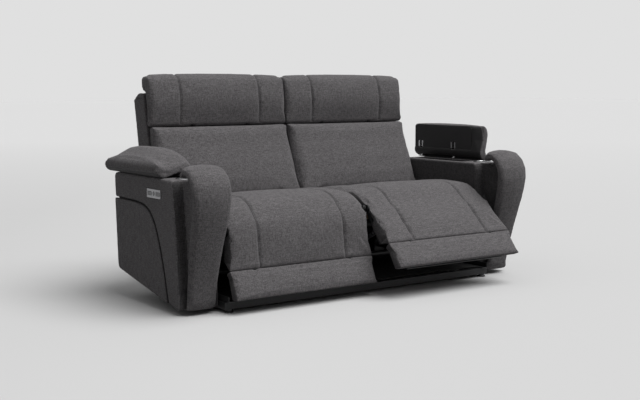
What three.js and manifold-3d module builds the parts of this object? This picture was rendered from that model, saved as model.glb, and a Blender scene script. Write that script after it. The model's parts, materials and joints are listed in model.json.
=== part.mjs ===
// A two-seat power recliner sofa with a storage console in each arm, in millimetres, +Z up.
// The front faces -Y. Left and right are the viewer's, so the left arm is on the -X side.
// It is shown as in use: left seat closed, right footrest part open, left lid down, right lid up.
import * as THREE from 'three';
import { mergeVertices } from 'three/addons/utils/BufferGeometryUtils.js';
import Module from 'manifold-3d';

const wasm = await Module();
wasm.setup();

// Overall sizes
const seatWidth = 763;
const armWidth = 191;
const armGap = 3;
const seatSideGap = 1.5;
const fitGap = 0.3;
const runningGap = 0.6;
const cutOverrun = 3;
const weldDistance = 0.0005;
const armInner = seatWidth + armGap;
const armOuter = armInner + armWidth;
const seatHalfWidth = seatWidth / 2 - seatSideGap;
const seatCentre = seatWidth / 2;

// Heights and depths that pieces line up with; y grows to the rear, from the front of the arm foot
const deckHeight = 568;
const seatTopHeight = 476;
const shellTop = 921;
const floorClearance = 15;
const railHeight = 30;
const frameTop = floorClearance + railHeight;
const armFootHeight = 20;
const armRearRise = 109;
const armRearDepth = 712;
const armRearLean = 28;

// How far each moving piece stands from closed, in degrees
const footrestAngles = { left: 0, right: 35 };
const lidAngles = { left: 0, right: 90 };
const footLagShare = -0.55;

// Smoothness
const roundSteps = 20;
const smallRoundSteps = 10;
const cornerSteps = 3;
const seamWidth = 16;
const endRoundShares = [1, 0.45, 0];
const crownStationShares = [0, 0.35, 0.8];
const endTuckShare = 0.8;
const minimumStationShare = 0.004;

// Materials
const finish = (color, roughness, metalness) => () =>
  new THREE.MeshStandardMaterial({ color, roughness, metalness });
const fabric = finish('#565456', 0.95, 0);
const lining = finish('#242325', 0.85, 0);
const paintedSteel = finish('#2a2b2d', 0.45, 0.6);
const zincSteel = finish('#a9abad', 0.35, 0.9);
const brightSteel = finish('#c8c9ca', 0.2, 1);
const blackPlastic = finish('#17171a', 0.5, 0);
const wood = finish('#8d7355', 0.8, 0);

// Solids and geometry
const degrees = THREE.MathUtils.degToRad;
const axisX = new THREE.Vector3(1, 0, 0);
const axisY = new THREE.Vector3(0, 1, 0);
const axisZ = new THREE.Vector3(0, 0, 1);

function solidOf(geometry) {
  const bare = geometry.clone();
  bare.deleteAttribute('normal');
  bare.deleteAttribute('uv');
  const merged = mergeVertices(bare, weldDistance);
  return new wasm.Manifold(new wasm.Mesh({
    numProp: 3,
    vertProperties: new Float32Array(merged.attributes.position.array),
    triVerts: new Uint32Array(merged.index.array),
  }));
}

function geometryOf(solid) {
  const mesh = solid.getMesh();
  const geometry = new THREE.BufferGeometry();
  geometry.setAttribute('position', new THREE.BufferAttribute(mesh.vertProperties, 3));
  geometry.setIndex(new THREE.BufferAttribute(mesh.triVerts, 1));
  geometry.computeVertexNormals();
  return geometry;
}

const joined = (first, ...others) =>
  geometryOf(others.reduce((whole, other) => whole.add(solidOf(other)), solidOf(first)));

const cut = (body, ...tools) =>
  geometryOf(tools.reduce((whole, tool) => whole.subtract(solidOf(tool)), solidOf(body)));

function mirrored(geometry) {
  const copy = geometry.clone().scale(-1, 1, 1);
  const index = copy.index.array;
  for (let corner = 0; corner < index.length; corner += 3) {
    [index[corner], index[corner + 1]] = [index[corner + 1], index[corner]];
  }
  copy.computeVertexNormals();
  return copy;
}

// A closed outline through corners [u, v, radius]; each corner is rounded by its radius
function outline(corners) {
  const shape = new THREE.Shape();
  const count = corners.length;
  const towards = (corner, other, distance) => {
    const from = new THREE.Vector2(corner[0], corner[1]);
    const way = new THREE.Vector2(other[0], other[1]).sub(from);
    return from.add(way.setLength(Math.min(distance, way.length() / 2)));
  };
  corners.forEach((corner, index) => {
    const radius = corner[2] ?? 0;
    const start = towards(corner, corners[(index + count - 1) % count], radius);
    const end = towards(corner, corners[(index + 1) % count], radius);
    if (index === 0) shape.moveTo(start.x, start.y);
    else shape.lineTo(start.x, start.y);
    if (radius > 0) shape.quadraticCurveTo(corner[0], corner[1], end.x, end.y);
  });
  shape.closePath();
  return shape;
}

const rectangle = (u, v, radius = 0) =>
  outline([[u[0], v[0], radius], [u[1], v[0], radius], [u[1], v[1], radius], [u[0], v[1], radius]]);

// A slot or bar of the given width with round ends at two points
function roundBar(from, to, width, holes = []) {
  const angle = Math.atan2(to[1] - from[1], to[0] - from[0]);
  const shape = new THREE.Shape();
  shape.absarc(to[0], to[1], width / 2, angle - Math.PI / 2, angle + Math.PI / 2, false);
  shape.absarc(from[0], from[1], width / 2, angle + Math.PI / 2, angle + Math.PI * 3 / 2, false);
  holes.forEach(hole => shape.holes.push(hole));
  return shape;
}

function circle(centre, radius) {
  const points = Array.from({ length: smallRoundSteps }, (_, step) => {
    const angle = Math.PI * 2 * step / smallRoundSteps;
    return new THREE.Vector2(centre[0] + radius * Math.cos(angle), centre[1] + radius * Math.sin(angle));
  });
  return new THREE.Shape(points);
}

// Extrusions of a side outline (y, z) across x, a front outline (x, z) along y, a plan (x, y) up z
function acrossX(shape, x, steps = cornerSteps, bevel = 0) {
  const geometry = new THREE.ExtrudeGeometry(shape, {
    depth: x[1] - x[0] - bevel * 2,
    curveSegments: steps,
    bevelEnabled: bevel > 0,
    bevelThickness: bevel,
    bevelSize: bevel,
    bevelOffset: -bevel,
    bevelSegments: 2,
  });
  geometry.applyMatrix4(new THREE.Matrix4().makeBasis(axisY, axisZ, axisX));
  return geometry.translate(x[0] + bevel, 0, 0);
}

function alongY(shape, y, steps = cornerSteps) {
  const geometry = new THREE.ExtrudeGeometry(shape, {
    depth: y[1] - y[0], curveSegments: steps, bevelEnabled: false,
  });
  return geometry.rotateX(Math.PI / 2).translate(0, y[1], 0);
}

function upZ(shape, z, steps = cornerSteps) {
  const geometry = new THREE.ExtrudeGeometry(shape, {
    depth: z[1] - z[0], curveSegments: steps, bevelEnabled: false,
  });
  return geometry.translate(0, 0, z[0]);
}

function block(x, y, z) {
  const middle = span => (span[0] + span[1]) / 2;
  return new THREE.BoxGeometry(x[1] - x[0], y[1] - y[0], z[1] - z[0])
    .translate(middle(x), middle(y), middle(z));
}

function rodX(radius, x, y, z, steps = smallRoundSteps) {
  return new THREE.CylinderGeometry(radius, radius, x[1] - x[0], steps)
    .rotateZ(Math.PI / 2).translate((x[0] + x[1]) / 2, y, z);
}

function rodY(radius, x, y, z, steps = smallRoundSteps) {
  return new THREE.CylinderGeometry(radius, radius, y[1] - y[0], steps)
    .translate(x, (y[0] + y[1]) / 2, z);
}

function rodZ(radius, x, y, z, steps = smallRoundSteps) {
  return new THREE.CylinderGeometry(radius, radius, z[1] - z[0], steps)
    .rotateX(Math.PI / 2).translate(x, y, (z[0] + z[1]) / 2);
}

// A closed skin through rings of points; the end rings are filled as seen along one axis
function loft(rings, across = 'y', up = 'z') {
  const count = rings[0].length;
  const faces = [];
  for (let ring = 0; ring < rings.length - 1; ring += 1) {
    for (let side = 0; side < count; side += 1) {
      const [a, b] = [ring * count + side, ring * count + (side + 1) % count];
      faces.push([a, b, b + count], [a, b + count, a + count]);
    }
  }
  const fill = (ring, sense, first) => {
    const points = ring.map(point => new THREE.Vector2(point[across], point[up]));
    const triangles = THREE.ShapeUtils.triangulateShape(points, []);
    const filled = triangles.reduce((sum, face) =>
      sum + THREE.ShapeUtils.area(face.map(corner => points[corner])), 0);
    const kept = filled * THREE.ShapeUtils.area(points) * sense > 0;
    triangles.forEach(face => {
      const [a, b, c] = face.map(corner => corner + first);
      faces.push(kept ? [a, b, c] : [a, c, b]);
    });
  };
  fill(rings[0], -1, 0);
  fill(rings.at(-1), 1, (rings.length - 1) * count);
  const points = rings.flat();
  const volume = faces.reduce((sum, [a, b, c]) =>
    sum + points[a].dot(new THREE.Vector3().crossVectors(points[b], points[c])), 0);
  const geometry = new THREE.BufferGeometry();
  geometry.setAttribute('position',
    new THREE.Float32BufferAttribute(points.flatMap(point => point.toArray()), 3));
  geometry.setIndex((volume > 0 ? faces : faces.map(([a, b, c]) => [a, c, b])).flat());
  geometry.computeVertexNormals();
  return geometry;
}

// A value that runs through [place, value] pairs, straight from one pair to the next
function along(pairs, place) {
  const next = pairs.findIndex(pair => pair[0] >= place);
  if (next === 0) return pairs[0][1];
  if (next < 0) return pairs.at(-1)[1];
  const [before, after] = [pairs[next - 1], pairs[next]];
  return THREE.MathUtils.mapLinear(place, before[0], after[0], before[1], after[1]);
}

// A padded piece: a side outline of [y, z, softness], each point pushed outwards by the crown,
// in at the seams and in at both ends, over stations across its width
function cushion(profile, { halfWidth, crown, seamShares = [], seamDepth = 0, endRound }) {
  const count = profile.length;
  const turn = Math.sign(THREE.ShapeUtils.area(profile.map(point => new THREE.Vector2(point[0], point[1]))));
  const normals = profile.map((point, index) => {
    const [before, after] = [profile[(index + count - 1) % count], profile[(index + 1) % count]];
    return new THREE.Vector2(after[1] - before[1], before[0] - after[0]).normalize().multiplyScalar(turn);
  });
  const seams = seamShares.flatMap(share => [-share, share]);
  const seamHalfShare = seamWidth / 2 / halfWidth;
  const endShares = endRoundShares.map(share => 1 - share * endRound / halfWidth);
  const right = [...crownStationShares,
    ...seamShares.flatMap(share => [share - seamHalfShare, share, share + seamHalfShare]), ...endShares];
  const stations = [...new Set([...right, ...right.map(share => -share)])].sort((a, b) => a - b)
    .filter((share, index, all) => index === 0 || share - all[index - 1] > minimumStationShare);
  const pushAt = share => {
    const size = Math.abs(share);
    const ending = Math.max(0, size - endShares[0]) / (1 - endShares[0]);
    const atSeam = seams.some(seam => Math.abs(seam - share) < minimumStationShare);
    return crown * (1 - size ** 2) - (atSeam ? seamDepth : 0)
      - endRound * (1 - Math.sqrt(Math.max(0, 1 - ending ** 2))) * endTuckShare;
  };
  return loft(stations.map(share => {
    const push = pushAt(share);
    return profile.map(([y, z, softness], index) => new THREE.Vector3(
      share * halfWidth,
      y + normals[index].x * push * softness,
      z + normals[index].y * push * softness,
    ));
  }));
}

// The assembly
const sofa = new THREE.Group();
const frame = new THREE.Group();
sofa.add(frame);

function place(name, geometry, makeFinish, parent = frame) {
  const mesh = new THREE.Mesh(geometry, makeFinish());
  mesh.name = name;
  parent.add(mesh);
  return mesh;
}

// A group that turns about its own origin, by degrees that open it
function hinge(name, parent, at, axis, opened = 0) {
  const pivot = new THREE.Group();
  pivot.position.copy(at);
  pivot.setRotationFromAxisAngle(axis, degrees(opened));
  pivot.userData.joint = name;
  parent.add(pivot);
  return pivot;
}

// A geometry drawn in the sofa's frame, moved into a group that stands at a point
const about = (geometry, point) => geometry.clone().translate(-point.x, -point.y, -point.z);

// Base frame and glides
const railDepth = 25;
const frontRailDepth = 80;
const rearRailDepth = 640;
const sillWidth = 30;
const glideRadius = 20;
const glideWaist = 14;
const glideSeat = 4;
const glideInset = 26;
const frameOuter = armInner - fitGap;
const frameDepths = [frontRailDepth, rearRailDepth + railDepth];

function baseFrame() {
  const plan = rectangle([-frameOuter, frameOuter], frameDepths);
  plan.holes.push(rectangle([-frameOuter + sillWidth, frameOuter - sillWidth],
    [frontRailDepth + railDepth, rearRailDepth]));
  return upZ(plan, [floorClearance, frameTop]);
}

function glide() {
  const profile = [
    [0, 0], [glideRadius, 0], [glideRadius, glideSeat], [glideWaist, glideSeat * 2],
    [glideWaist, floorClearance - fitGap], [0, floorClearance - fitGap],
  ].map(([radius, height]) => new THREE.Vector2(radius, height));
  return new THREE.LatheGeometry(profile, roundSteps / 2).rotateX(Math.PI / 2);
}

place('base_frame', baseFrame(), wood);
const glideX = frameOuter - glideInset;
const glideDepths = { front: frontRailDepth + glideInset / 2, rear: rearRailDepth + glideInset / 2 };
Object.entries(glideDepths).forEach(([end, y]) => {
  place(`left_${end}_glide`, glide().translate(-glideX, y, 0), blackPlastic);
  place(`right_${end}_glide`, glide().translate(glideX, y, 0), blackPlastic);
});

// Arms: a console box with a narrower core at its front, wrapped by the padded front band
const bandFootFront = 102;
const bandFootHeight = 18;
const bandRise = 70;
const bandTopHeight = deckHeight + bandRise;
const bandNoseFront = -21;
const bandThickness = 46;
const bandFootThickness = 18;
const bandTopWidth = 190;
const bandFootWidth = 147;
const bandCrown = 14;
const bandStations = 15;
const bandPathShares = [[0, 0], [0.26, 0.24], [0.64, 0.49], [0.9, 0.67], [1, 0.825],
  [0.715, 0.943], [0.195, 1], [-0.21, 0.984], [-0.36, 0.938]];
const bandFullThicknessShare = 0.35;
const bandFullWidthShare = 0.6;
const bandSectionShares = [[-1, 1, 0.45], [-0.96, 1, 0.12], [-0.8, 0.62, 0], [-0.45, 0.2, 0], [0, 0, 0],
  [0.45, 0.2, 0], [0.8, 0.62, 0], [0.96, 1, 0.12], [1, 1, 0.45], [0.97, 0, 1], [-0.97, 0, 1]];
const coreInset = 48;
const bodyFrontDepth = 172;
const bodyShoulder = 31;
const bodyFrontHeight = deckHeight - bodyShoulder;
const bodyWaistDepth = 147;
const bodyWaistShare = 0.5616;
const bodyWaistHeight = deckHeight * bodyWaistShare;
const bodyFootDepth = 126;
const bodyBevel = 9;
const bodyCorner = 24;
const armCentre = (armInner + armOuter) / 2;

const bandPath = new THREE.SplineCurve(bandPathShares.map(([forward, upward]) => new THREE.Vector2(
  bandFootFront + forward * (bandNoseFront - bandFootFront),
  bandFootHeight + upward * (bandTopHeight - bandFootHeight))));
const bandThicknessAt = share =>
  along([[0, bandFootThickness], [bandFullThicknessShare, bandThickness]], share);

// A point of the band's path, sunk into the arm by a depth
function bandPoint(share, depth) {
  const tangent = bandPath.getTangentAt(share);
  return bandPath.getPointAt(share).add(new THREE.Vector2(tangent.y, -tangent.x).multiplyScalar(depth));
}

function frontBand() {
  const rings = [];
  for (let station = 0; station < bandStations; station += 1) {
    const share = station / (bandStations - 1);
    const thickness = bandThicknessAt(share);
    const width = along([[0, bandFootWidth], [bandFullWidthShare, bandTopWidth]], share);
    rings.push(bandSectionShares.map(([side, crownShare, sunkShare]) => {
      const depth = thickness * sunkShare + bandCrown * crownShare * thickness / bandThickness;
      const point = bandPoint(share, depth);
      return new THREE.Vector3(armCentre + side * width / 2, point.x, point.y);
    }));
  }
  return loft(rings, 'x', 'y');
}

// Console bin, cup holder and lid places
const binWall = 22;
const binOuter = armOuter - 65;
const binDepths = [300, 690];
const binDepth = 138;
const binFloor = deckHeight - binDepth;
const lidFront = 275;
const cupRadius = 44;
const cupRimRadius = 53;
const cupRimHeight = 3;
const cupDepth = 72;
const cupWall = 2;
const cupBase = 3;
const cupPlace = [armInner + armWidth / 2, lidFront - cupRimRadius - 9];

// Padded lower rear panel on the outer side, below an S-shaped seam
const panelSeamShares = [[1.1, 0.797], [0.646, 0.79], [0.4915, 0.757], [0.4116, 0.7025], [0.335, 0.586],
  [0.2687, 0.419], [0.2245, 0.271], [0.165, 0.03]];
const panelSeamSteps = 16;
const panelDepth = 16;
const panelProud = 2;
const panelGap = 1.5;
const panelBevel = 6;

// Control plate with two rockers and a round home button
const plateDepths = [278, 403];
const plateDrop = 50;
const plateHeight = 38;
const plateHeights = [deckHeight - plateDrop - plateHeight, deckHeight - plateDrop];
const plateThickness = 2.5;
const plateCorner = 4;
const housingDepth = 16;
const housingInset = 4;
const rockerLength = 36;
const rockerWidth = 15;
const rockerThickness = 7;
const rockerGap = 1.2;
const rockerShares = [0.2, 0.8];
const homeRadius = 8;
const homeShare = 0.5;
const homeTravel = 1.5;
const homeStemRadius = 3;
const pocketDepth = 11;
const housingFloor = 1.5;

const bodyOutline = [
  [bodyFootDepth, armFootHeight, 0],
  [armRearDepth, armFootHeight + armRearRise, bodyCorner],
  [armRearDepth + armRearLean, deckHeight, bodyCorner],
  [bodyFrontDepth + bodyBevel, deckHeight, bodyCorner],
  [bodyFrontDepth, bodyFrontHeight, bodyCorner],
  [bodyWaistDepth, bodyWaistHeight, bodyCorner],
];

// The core follows the inside of the band, and ends level with the deck behind it
function coreOutline() {
  const front = [];
  for (let station = 0; station < bandStations; station += 1) {
    const share = station / (bandStations - 1);
    const point = bandPoint(share, bandThicknessAt(share) + fitGap);
    front.push([point.x, Math.max(point.y, armFootHeight)]);
  }
  const last = front.at(-1);
  return outline([...front, [last[0], deckHeight], [bodyFrontDepth + bodyCorner * 2, deckHeight],
    [bodyFrontDepth + bodyCorner * 2, armFootHeight + bodyCorner]]);
}

// The seam's points, from the rear to the foot, moved outwards by a distance
function panelSeam(distance) {
  const curve = new THREE.SplineCurve(panelSeamShares.map(([depthShare, heightShare]) => new THREE.Vector2(
    bodyFootDepth + depthShare * (armRearDepth - bodyFootDepth), heightShare * deckHeight)));
  return curve.getPoints(panelSeamSteps).map((point, index) => {
    const tangent = curve.getTangent(index / panelSeamSteps);
    return [point.x + tangent.y * distance, point.y - tangent.x * distance];
  });
}

const panelInner = armOuter - panelDepth;
const panelSolid = () => geometryOf(
  solidOf(acrossX(outline(bodyOutline), [panelInner + fitGap, armOuter + panelProud],
    cornerSteps, panelBevel))
    .subtract(solidOf(acrossX(outline([...panelSeam(0),
      [bandNoseFront, 0], [bandNoseFront, bandTopHeight], [armRearDepth * 2, bandTopHeight]]),
    [panelInner - cutOverrun, armOuter + panelProud + cutOverrun]))));
const panelRecess = () => acrossX(outline([...panelSeam(panelGap),
  [bodyFootDepth, -cutOverrun], [armRearDepth * 2, -cutOverrun]]), [panelInner, armOuter + cutOverrun]);

const controlFaceX = armOuter;
const housingDepths = [plateDepths[0] + housingInset, plateDepths[1] - housingInset];
const housingHeights = [plateHeights[0] + housingInset, plateHeights[1] - housingInset];
const plateMiddle = (plateHeights[0] + plateHeights[1]) / 2;
const plateAt = share => THREE.MathUtils.lerp(plateDepths[0], plateDepths[1], share);

function armFrame() {
  const body = acrossX(outline(bodyOutline), [armInner, armOuter], cornerSteps, bodyBevel);
  const core = acrossX(coreOutline(), [armInner + coreInset, armOuter - coreInset]);
  const bin = block([armInner + binWall, binOuter], binDepths, [binFloor, deckHeight + cutOverrun]);
  const cup = rodZ(cupRadius + fitGap, ...cupPlace, [deckHeight - cupDepth - fitGap, deckHeight + cutOverrun],
    roundSteps);
  const housing = block([controlFaceX - housingDepth - fitGap, controlFaceX + cutOverrun],
    housingDepths.map((depth, end) => depth + (end * 2 - 1) * fitGap),
    housingHeights.map((height, end) => height + (end * 2 - 1) * fitGap));
  return cut(joined(body, core), bin, cup, panelRecess(), housing);
}

function cupHolder() {
  const profile = [
    [0, -cupDepth], [cupRadius - cupWall * 2, -cupDepth], [cupRadius, -cupDepth + cupBase * 2],
    [cupRadius, fitGap], [cupRimRadius, fitGap], [cupRimRadius, cupRimHeight / 2],
    [cupRimRadius - cupRimHeight, cupRimHeight], [cupRadius, cupRimHeight],
    [cupRadius - cupWall, cupRimHeight / 2],
    [cupRadius - cupWall, -cupDepth + cupBase * 2], [cupRadius - cupWall * 3, -cupDepth + cupBase],
    [0, -cupDepth + cupBase],
  ].map(([radius, height]) => new THREE.Vector2(radius, height));
  return new THREE.LatheGeometry(profile, roundSteps).rotateX(Math.PI / 2)
    .translate(...cupPlace, deckHeight);
}

function controlPlate() {
  const face = acrossX(rectangle(plateDepths, plateHeights, plateCorner),
    [controlFaceX + fitGap, controlFaceX + plateThickness]);
  const housing = block([controlFaceX - housingDepth, controlFaceX + plateThickness / 2],
    housingDepths, housingHeights);
  const pocketX = [controlFaceX + plateThickness - pocketDepth, controlFaceX + plateThickness + cutOverrun];
  const rockerPockets = rockerShares.map(share => acrossX(rectangle(
    [plateAt(share) - rockerLength / 2 - rockerGap, plateAt(share) + rockerLength / 2 + rockerGap],
    [plateMiddle - rockerWidth / 2 - rockerGap, plateMiddle + rockerWidth / 2 + rockerGap],
    plateCorner / 2), pocketX));
  const homePocket = rodX(homeRadius + rockerGap, pocketX, plateAt(homeShare), plateMiddle, roundSteps);
  const stemBore = rodX(homeStemRadius + fitGap, [controlFaceX - housingDepth + housingFloor, controlFaceX],
    plateAt(homeShare), plateMiddle, roundSteps);
  return cut(joined(face, housing), ...rockerPockets, homePocket, stemBore);
}

const rockerFace = controlFaceX + plateThickness + rockerGap;
const rockerPivotX = rockerFace - rockerThickness;

// A rocker key, dished along its length, drawn about the place of its pivot pin
function rocker() {
  const plan = outline([
    [0, -rockerLength / 2, rockerGap], [0, rockerLength / 2, rockerGap],
    [rockerThickness, rockerLength / 2, rockerGap], [rockerThickness - rockerGap, 0, rockerLength / 4],
    [rockerThickness, -rockerLength / 2, rockerGap],
  ]);
  return upZ(plan, [-rockerWidth / 2, rockerWidth / 2]);
}

// The home button, drawn from the plate's face; its stem slides in a bore in the floor of the pocket
const homeStemEnd = housingFloor - housingDepth - plateThickness + homeTravel + fitGap;
const homeButton = () => joined(
  rodX(homeRadius, [-pocketDepth + homeTravel * 2, rockerGap], 0, 0, roundSteps),
  rodX(homeStemRadius, [homeStemEnd, 0], 0, 0, roundSteps));

// Console lid: a padded cushion on a board that turns on two steel arms rising from the deck
const lidInner = armInner + 32;
const lidRear = 795;
const lidClearance = 3;
const lidCrownRise = 122;
const lidCrownHeight = deckHeight + lidCrownRise;
const lidUnderside = deckHeight + lidClearance;
const lidPivotRise = 43;
const lidPivotInset = 20;
const lidPivot = new THREE.Vector3(armOuter - lidPivotInset, 0, deckHeight + lidPivotRise);
const lidOuterRadius = lidPivotRise - lidClearance;
const lidFrontArch = 26;
const lidArchDepth = 72;
const lidArchTopShare = 0.667;
const lidShoulderShare = 0.66;
const lidFallShare = 1.5;
const lidSideShare = 0.7;
const lidBoardThickness = 12;
const lidBoardInset = [12, 70];
const lidBoardOuter = armOuter - 32;
const hingeShares = [0.403, 0.906];
const hingeArmWidth = 14;
const hingeFootInset = 14;
const hingeFootX = binOuter + hingeFootInset;
const hingeHead = 8;
const hingePinRadius = 4;
const hingeStripThickness = 2;
const hingeStripWidth = 26;
const hingeStripMargin = 20;
const hingeSweepAngles = [-24, -55, -90, -120, -146];
const hingeHeadAngles = [170, 130, 95, 60, 20];
const hingeEyeAngles = [-45, 0, 60, 120, 170];
const knuckleWidth = 10;
const knuckleReach = 50;
const notchMargin = 4;
const lidReach = lidPivot.x - lidInner;
const lidPadHeight = lidCrownHeight - lidUnderside;
// Across the lid from its inner edge: shares of its reach and of its height; then its outer edge and side
const lidSectionShares = [[0.55, 0], [0.09, 0], [0.02, 0.1], [0, 0.33], [0.03, 0.62], [0.13, 0.88],
  [0.34, 1], [0.66, 0.93], [1, 0.74]];
const lidEdgeShares = [[0.94, 1], [1, 0.86]];
const lidSideAngles = [0, -25, -50, -72, -90];
// Along the lid: place, width, height of the crown, height of the outer edge, all as shares
const lidStationShares = [[0, 0.9, 0.4, 0.42], [0.006, 0.96, 0.47, 0.46], [0.03, 0.99, 0.58, 0.5],
  [0.1, 1, 0.77, 0.53], [0.2, 1, 0.91, 0.56], [0.36, 1, 0.99, 0.57], [0.62, 1, 1, 0.56],
  [0.82, 1, 0.95, 0.52], [0.93, 1, 0.82, 0.45], [0.975, 0.99, 0.66, 0.38], [0.994, 0.96, 0.54, 0.33],
  [1, 0.9, 0.46, 0.3]];
const lidDepthAt = share => THREE.MathUtils.lerp(lidFront, lidRear, share);
const hingeDepths = hingeShares.map(lidDepthAt);
const aroundLidPivot = (radius, angle) =>
  [lidPivot.x + radius * Math.cos(degrees(angle)), lidPivot.z + radius * Math.sin(degrees(angle))];

// Room for the knuckles, and for the fan that a fixed hinge arm sweeps through the turning lid
function lidNotches(inner) {
  const armHalf = hingeArmWidth / 2 + runningGap * 2;
  const half = armHalf + knuckleWidth + notchMargin / 2;
  const fan = outline([...hingeSweepAngles.map(angle => aroundLidPivot(lidPivotRise * 2, angle)),
    ...hingeHeadAngles.map(angle => aroundLidPivot(hingeHead + notchMargin, angle))]);
  return hingeDepths.flatMap(depth => [
    block([inner, lidPivot.x + hingeHead + notchMargin / 2], [depth - half, depth + half],
      [deckHeight, lidPivot.z + hingeHead + notchMargin]),
    alongY(fan, [depth - armHalf, depth + armHalf]),
  ]);
}

function lidBoard() {
  const board = upZ(rectangle([lidInner + lidBoardInset[0], lidBoardOuter],
    [lidFront + lidBoardInset[1], lidRear - lidBoardInset[0]], lidBoardThickness),
  [lidUnderside, lidUnderside + lidBoardThickness]);
  const hole = circle([lidPivot.x, lidPivot.z], hingePinRadius + runningGap);
  const knuckles = hingeDepths.flatMap(depth => [-1, 1].map(side => {
    const middle = depth + side * (hingeArmWidth / 2 + runningGap + knuckleWidth / 2);
    const foot = [lidPivot.x - knuckleReach, lidUnderside + hingeHead + fitGap];
    return alongY(roundBar(foot, [lidPivot.x, lidPivot.z], hingeHead * 2, [hole]),
      [middle - knuckleWidth / 2, middle + knuckleWidth / 2]);
  }));
  const slots = hingeDepths.map(depth => block([hingeFootX - hingeHead - notchMargin * 2, armOuter],
    [depth - hingeArmWidth / 2 - runningGap * 2, depth + hingeArmWidth / 2 + runningGap * 2],
    [deckHeight, lidPivot.z]));
  return joined(cut(board, ...slots), ...knuckles);
}

function lidPad() {
  const middle = lidInner + lidReach / 2;
  const outerX = lidPivot.x + lidOuterRadius;
  const rings = lidStationShares.map(([depthShare, widthScale, heightScale, edgeShare]) => {
    const y = lidDepthAt(depthShare);
    const nearFront = Math.max(0, 1 - (y - lidFront) / lidArchDepth);
    const edge = edgeShare * lidPadHeight;
    const section = lidSectionShares.map(([acrossShare, upShare]) => {
      const arch = lidFrontArch * nearFront * Math.max(0, 1 - acrossShare ** 2)
        * Math.max(0, 1 - upShare / lidArchTopShare);
      const crown = THREE.MathUtils.lerp(upShare * lidPadHeight * heightScale, edge,
        Math.max(0, acrossShare - lidShoulderShare) / (lidFallShare - lidShoulderShare));
      return [lidInner + acrossShare * lidReach, lidUnderside + crown + arch];
    });
    const rim = lidEdgeShares.map(([outShare, upShare]) =>
      [lidPivot.x + lidOuterRadius * outShare, lidUnderside + edge * upShare]);
    const side = lidSideAngles.map(angle => {
      const [x, z] = aroundLidPivot(lidOuterRadius, angle);
      const squeeze = Math.min(1, edge / lidOuterRadius * lidSideShare);
      return [x, lidUnderside + Math.max(0, z - lidUnderside) * squeeze];
    });
    return [...section, ...rim, ...side].map(([x, z]) => {
      const outward = Math.max(0, x - middle) / (outerX - middle);
      const scale = x < middle ? widthScale : THREE.MathUtils.lerp(1, widthScale, outward);
      return new THREE.Vector3(middle + (x - middle) * scale, y, z);
    });
  });
  const pocket = block([lidInner + lidBoardInset[0] - fitGap, lidBoardOuter + fitGap],
    [lidFront + lidBoardInset[1] - fitGap, lidRear - lidBoardInset[0] + fitGap],
    [deckHeight, lidUnderside + lidBoardThickness + fitGap]);
  return cut(loft(rings, 'x', 'z'), pocket,
    ...lidNotches(lidPivot.x - knuckleReach - hingeHead - runningGap));
}

function lidHinge() {
  const stripTop = deckHeight + fitGap + hingeStripThickness;
  const strip = block([hingeFootX - hingeHead, hingeFootX - hingeHead + hingeStripWidth],
    [hingeDepths[0] - hingeStripMargin, hingeDepths[1] + hingeStripMargin], [deckHeight + fitGap, stripTop]);
  const side = outline([
    [hingeFootX - hingeHead, stripTop - fitGap], [hingeFootX + hingeHead * 2, stripTop - fitGap],
    ...hingeEyeAngles.map(angle => [...aroundLidPivot(hingeHead, angle), hingeHead / 2]),
  ]);
  const arms = hingeDepths.map(depth =>
    alongY(side, [depth - hingeArmWidth / 2, depth + hingeArmWidth / 2]));
  const pinHalf = hingeArmWidth / 2 + runningGap + knuckleWidth;
  const pins = hingeDepths.map(depth =>
    rodY(hingePinRadius, lidPivot.x, [depth - pinHalf, depth + pinHalf], lidPivot.z));
  return joined(strip, ...arms, ...pins);
}

// Each arm is drawn for the right side and mirrored for the left
[['left', -1], ['right', 1]].forEach(([side, sign]) => {
  const sided = geometry => (sign > 0 ? geometry : mirrored(geometryOf(solidOf(geometry))));
  place(`${side}_arm_frame`, sided(armFrame()), fabric);
  place(`${side}_side_panel`, sided(panelSolid()), fabric);
  place(`${side}_front_band`, sided(frontBand()), fabric);
  place(`${side}_cup_holder`, sided(cupHolder()), brightSteel);
  place(`${side}_control_plate`, sided(controlPlate()), blackPlastic);
  place(`${side}_lid_hinge`, sided(lidHinge()), zincSteel);

  rockerShares.forEach((share, index) => {
    const name = `${side}_${index === 0 ? 'headrest' : 'recline'}_rocker`;
    const at = new THREE.Vector3(sign * rockerPivotX, plateAt(share), plateMiddle);
    place(name, sided(rocker()), blackPlastic, hinge(name, frame, at, axisZ));
  });
  const homeAt = new THREE.Vector3(sign * (controlFaceX + plateThickness), plateAt(homeShare), plateMiddle);
  place(`${side}_home_button`, sided(homeButton()), brightSteel,
    hinge(`${side}_home_button`, frame, homeAt, axisX));

  const pivot = new THREE.Vector3(sign * lidPivot.x, 0, lidPivot.z);
  const lid = hinge(`${side}_lid`, frame, pivot, axisY, sign * lidAngles[side]);
  place(`${side}_lid_board`, about(sided(lidBoard()), pivot), lining, lid);
  place(`${side}_lid_pad`, about(sided(lidPad()), pivot), fabric, lid);
});

// Seats: places of the pivots of one seat, seen from its side as [y, z]
const footrestPivot = [100, 400];
const crankPivot = [330, 285];
const backPivot = [640, 330];
const headrestPivot = [775, 793];
const crankOffset = [36, -120];
const footPivot = [50, 183];
const crankEnd = [crankPivot[0] + crankOffset[0], crankPivot[1] + crankOffset[1]];
const linkFront = [footrestPivot[0] + crankOffset[0], footrestPivot[1] + crankOffset[1]];

// Steel parts of the mechanism
const sheetThickness = 4;
const sheetGap = 2;
const plateInset = 7.5;
const pinRadius = 5;
const backPinRadius = pinRadius * 2;
const shaftRadius = 10;
const bossRadius = 17;
const linkWidth = 20;
const plateU = seatHalfWidth - plateInset - fitGap;
const earU = plateU - sheetThickness - sheetGap;
const linkU = earU - sheetThickness - sheetGap;
const sheet = (middle, side) => [side * middle - sheetThickness / 2, side * middle + sheetThickness / 2];

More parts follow.
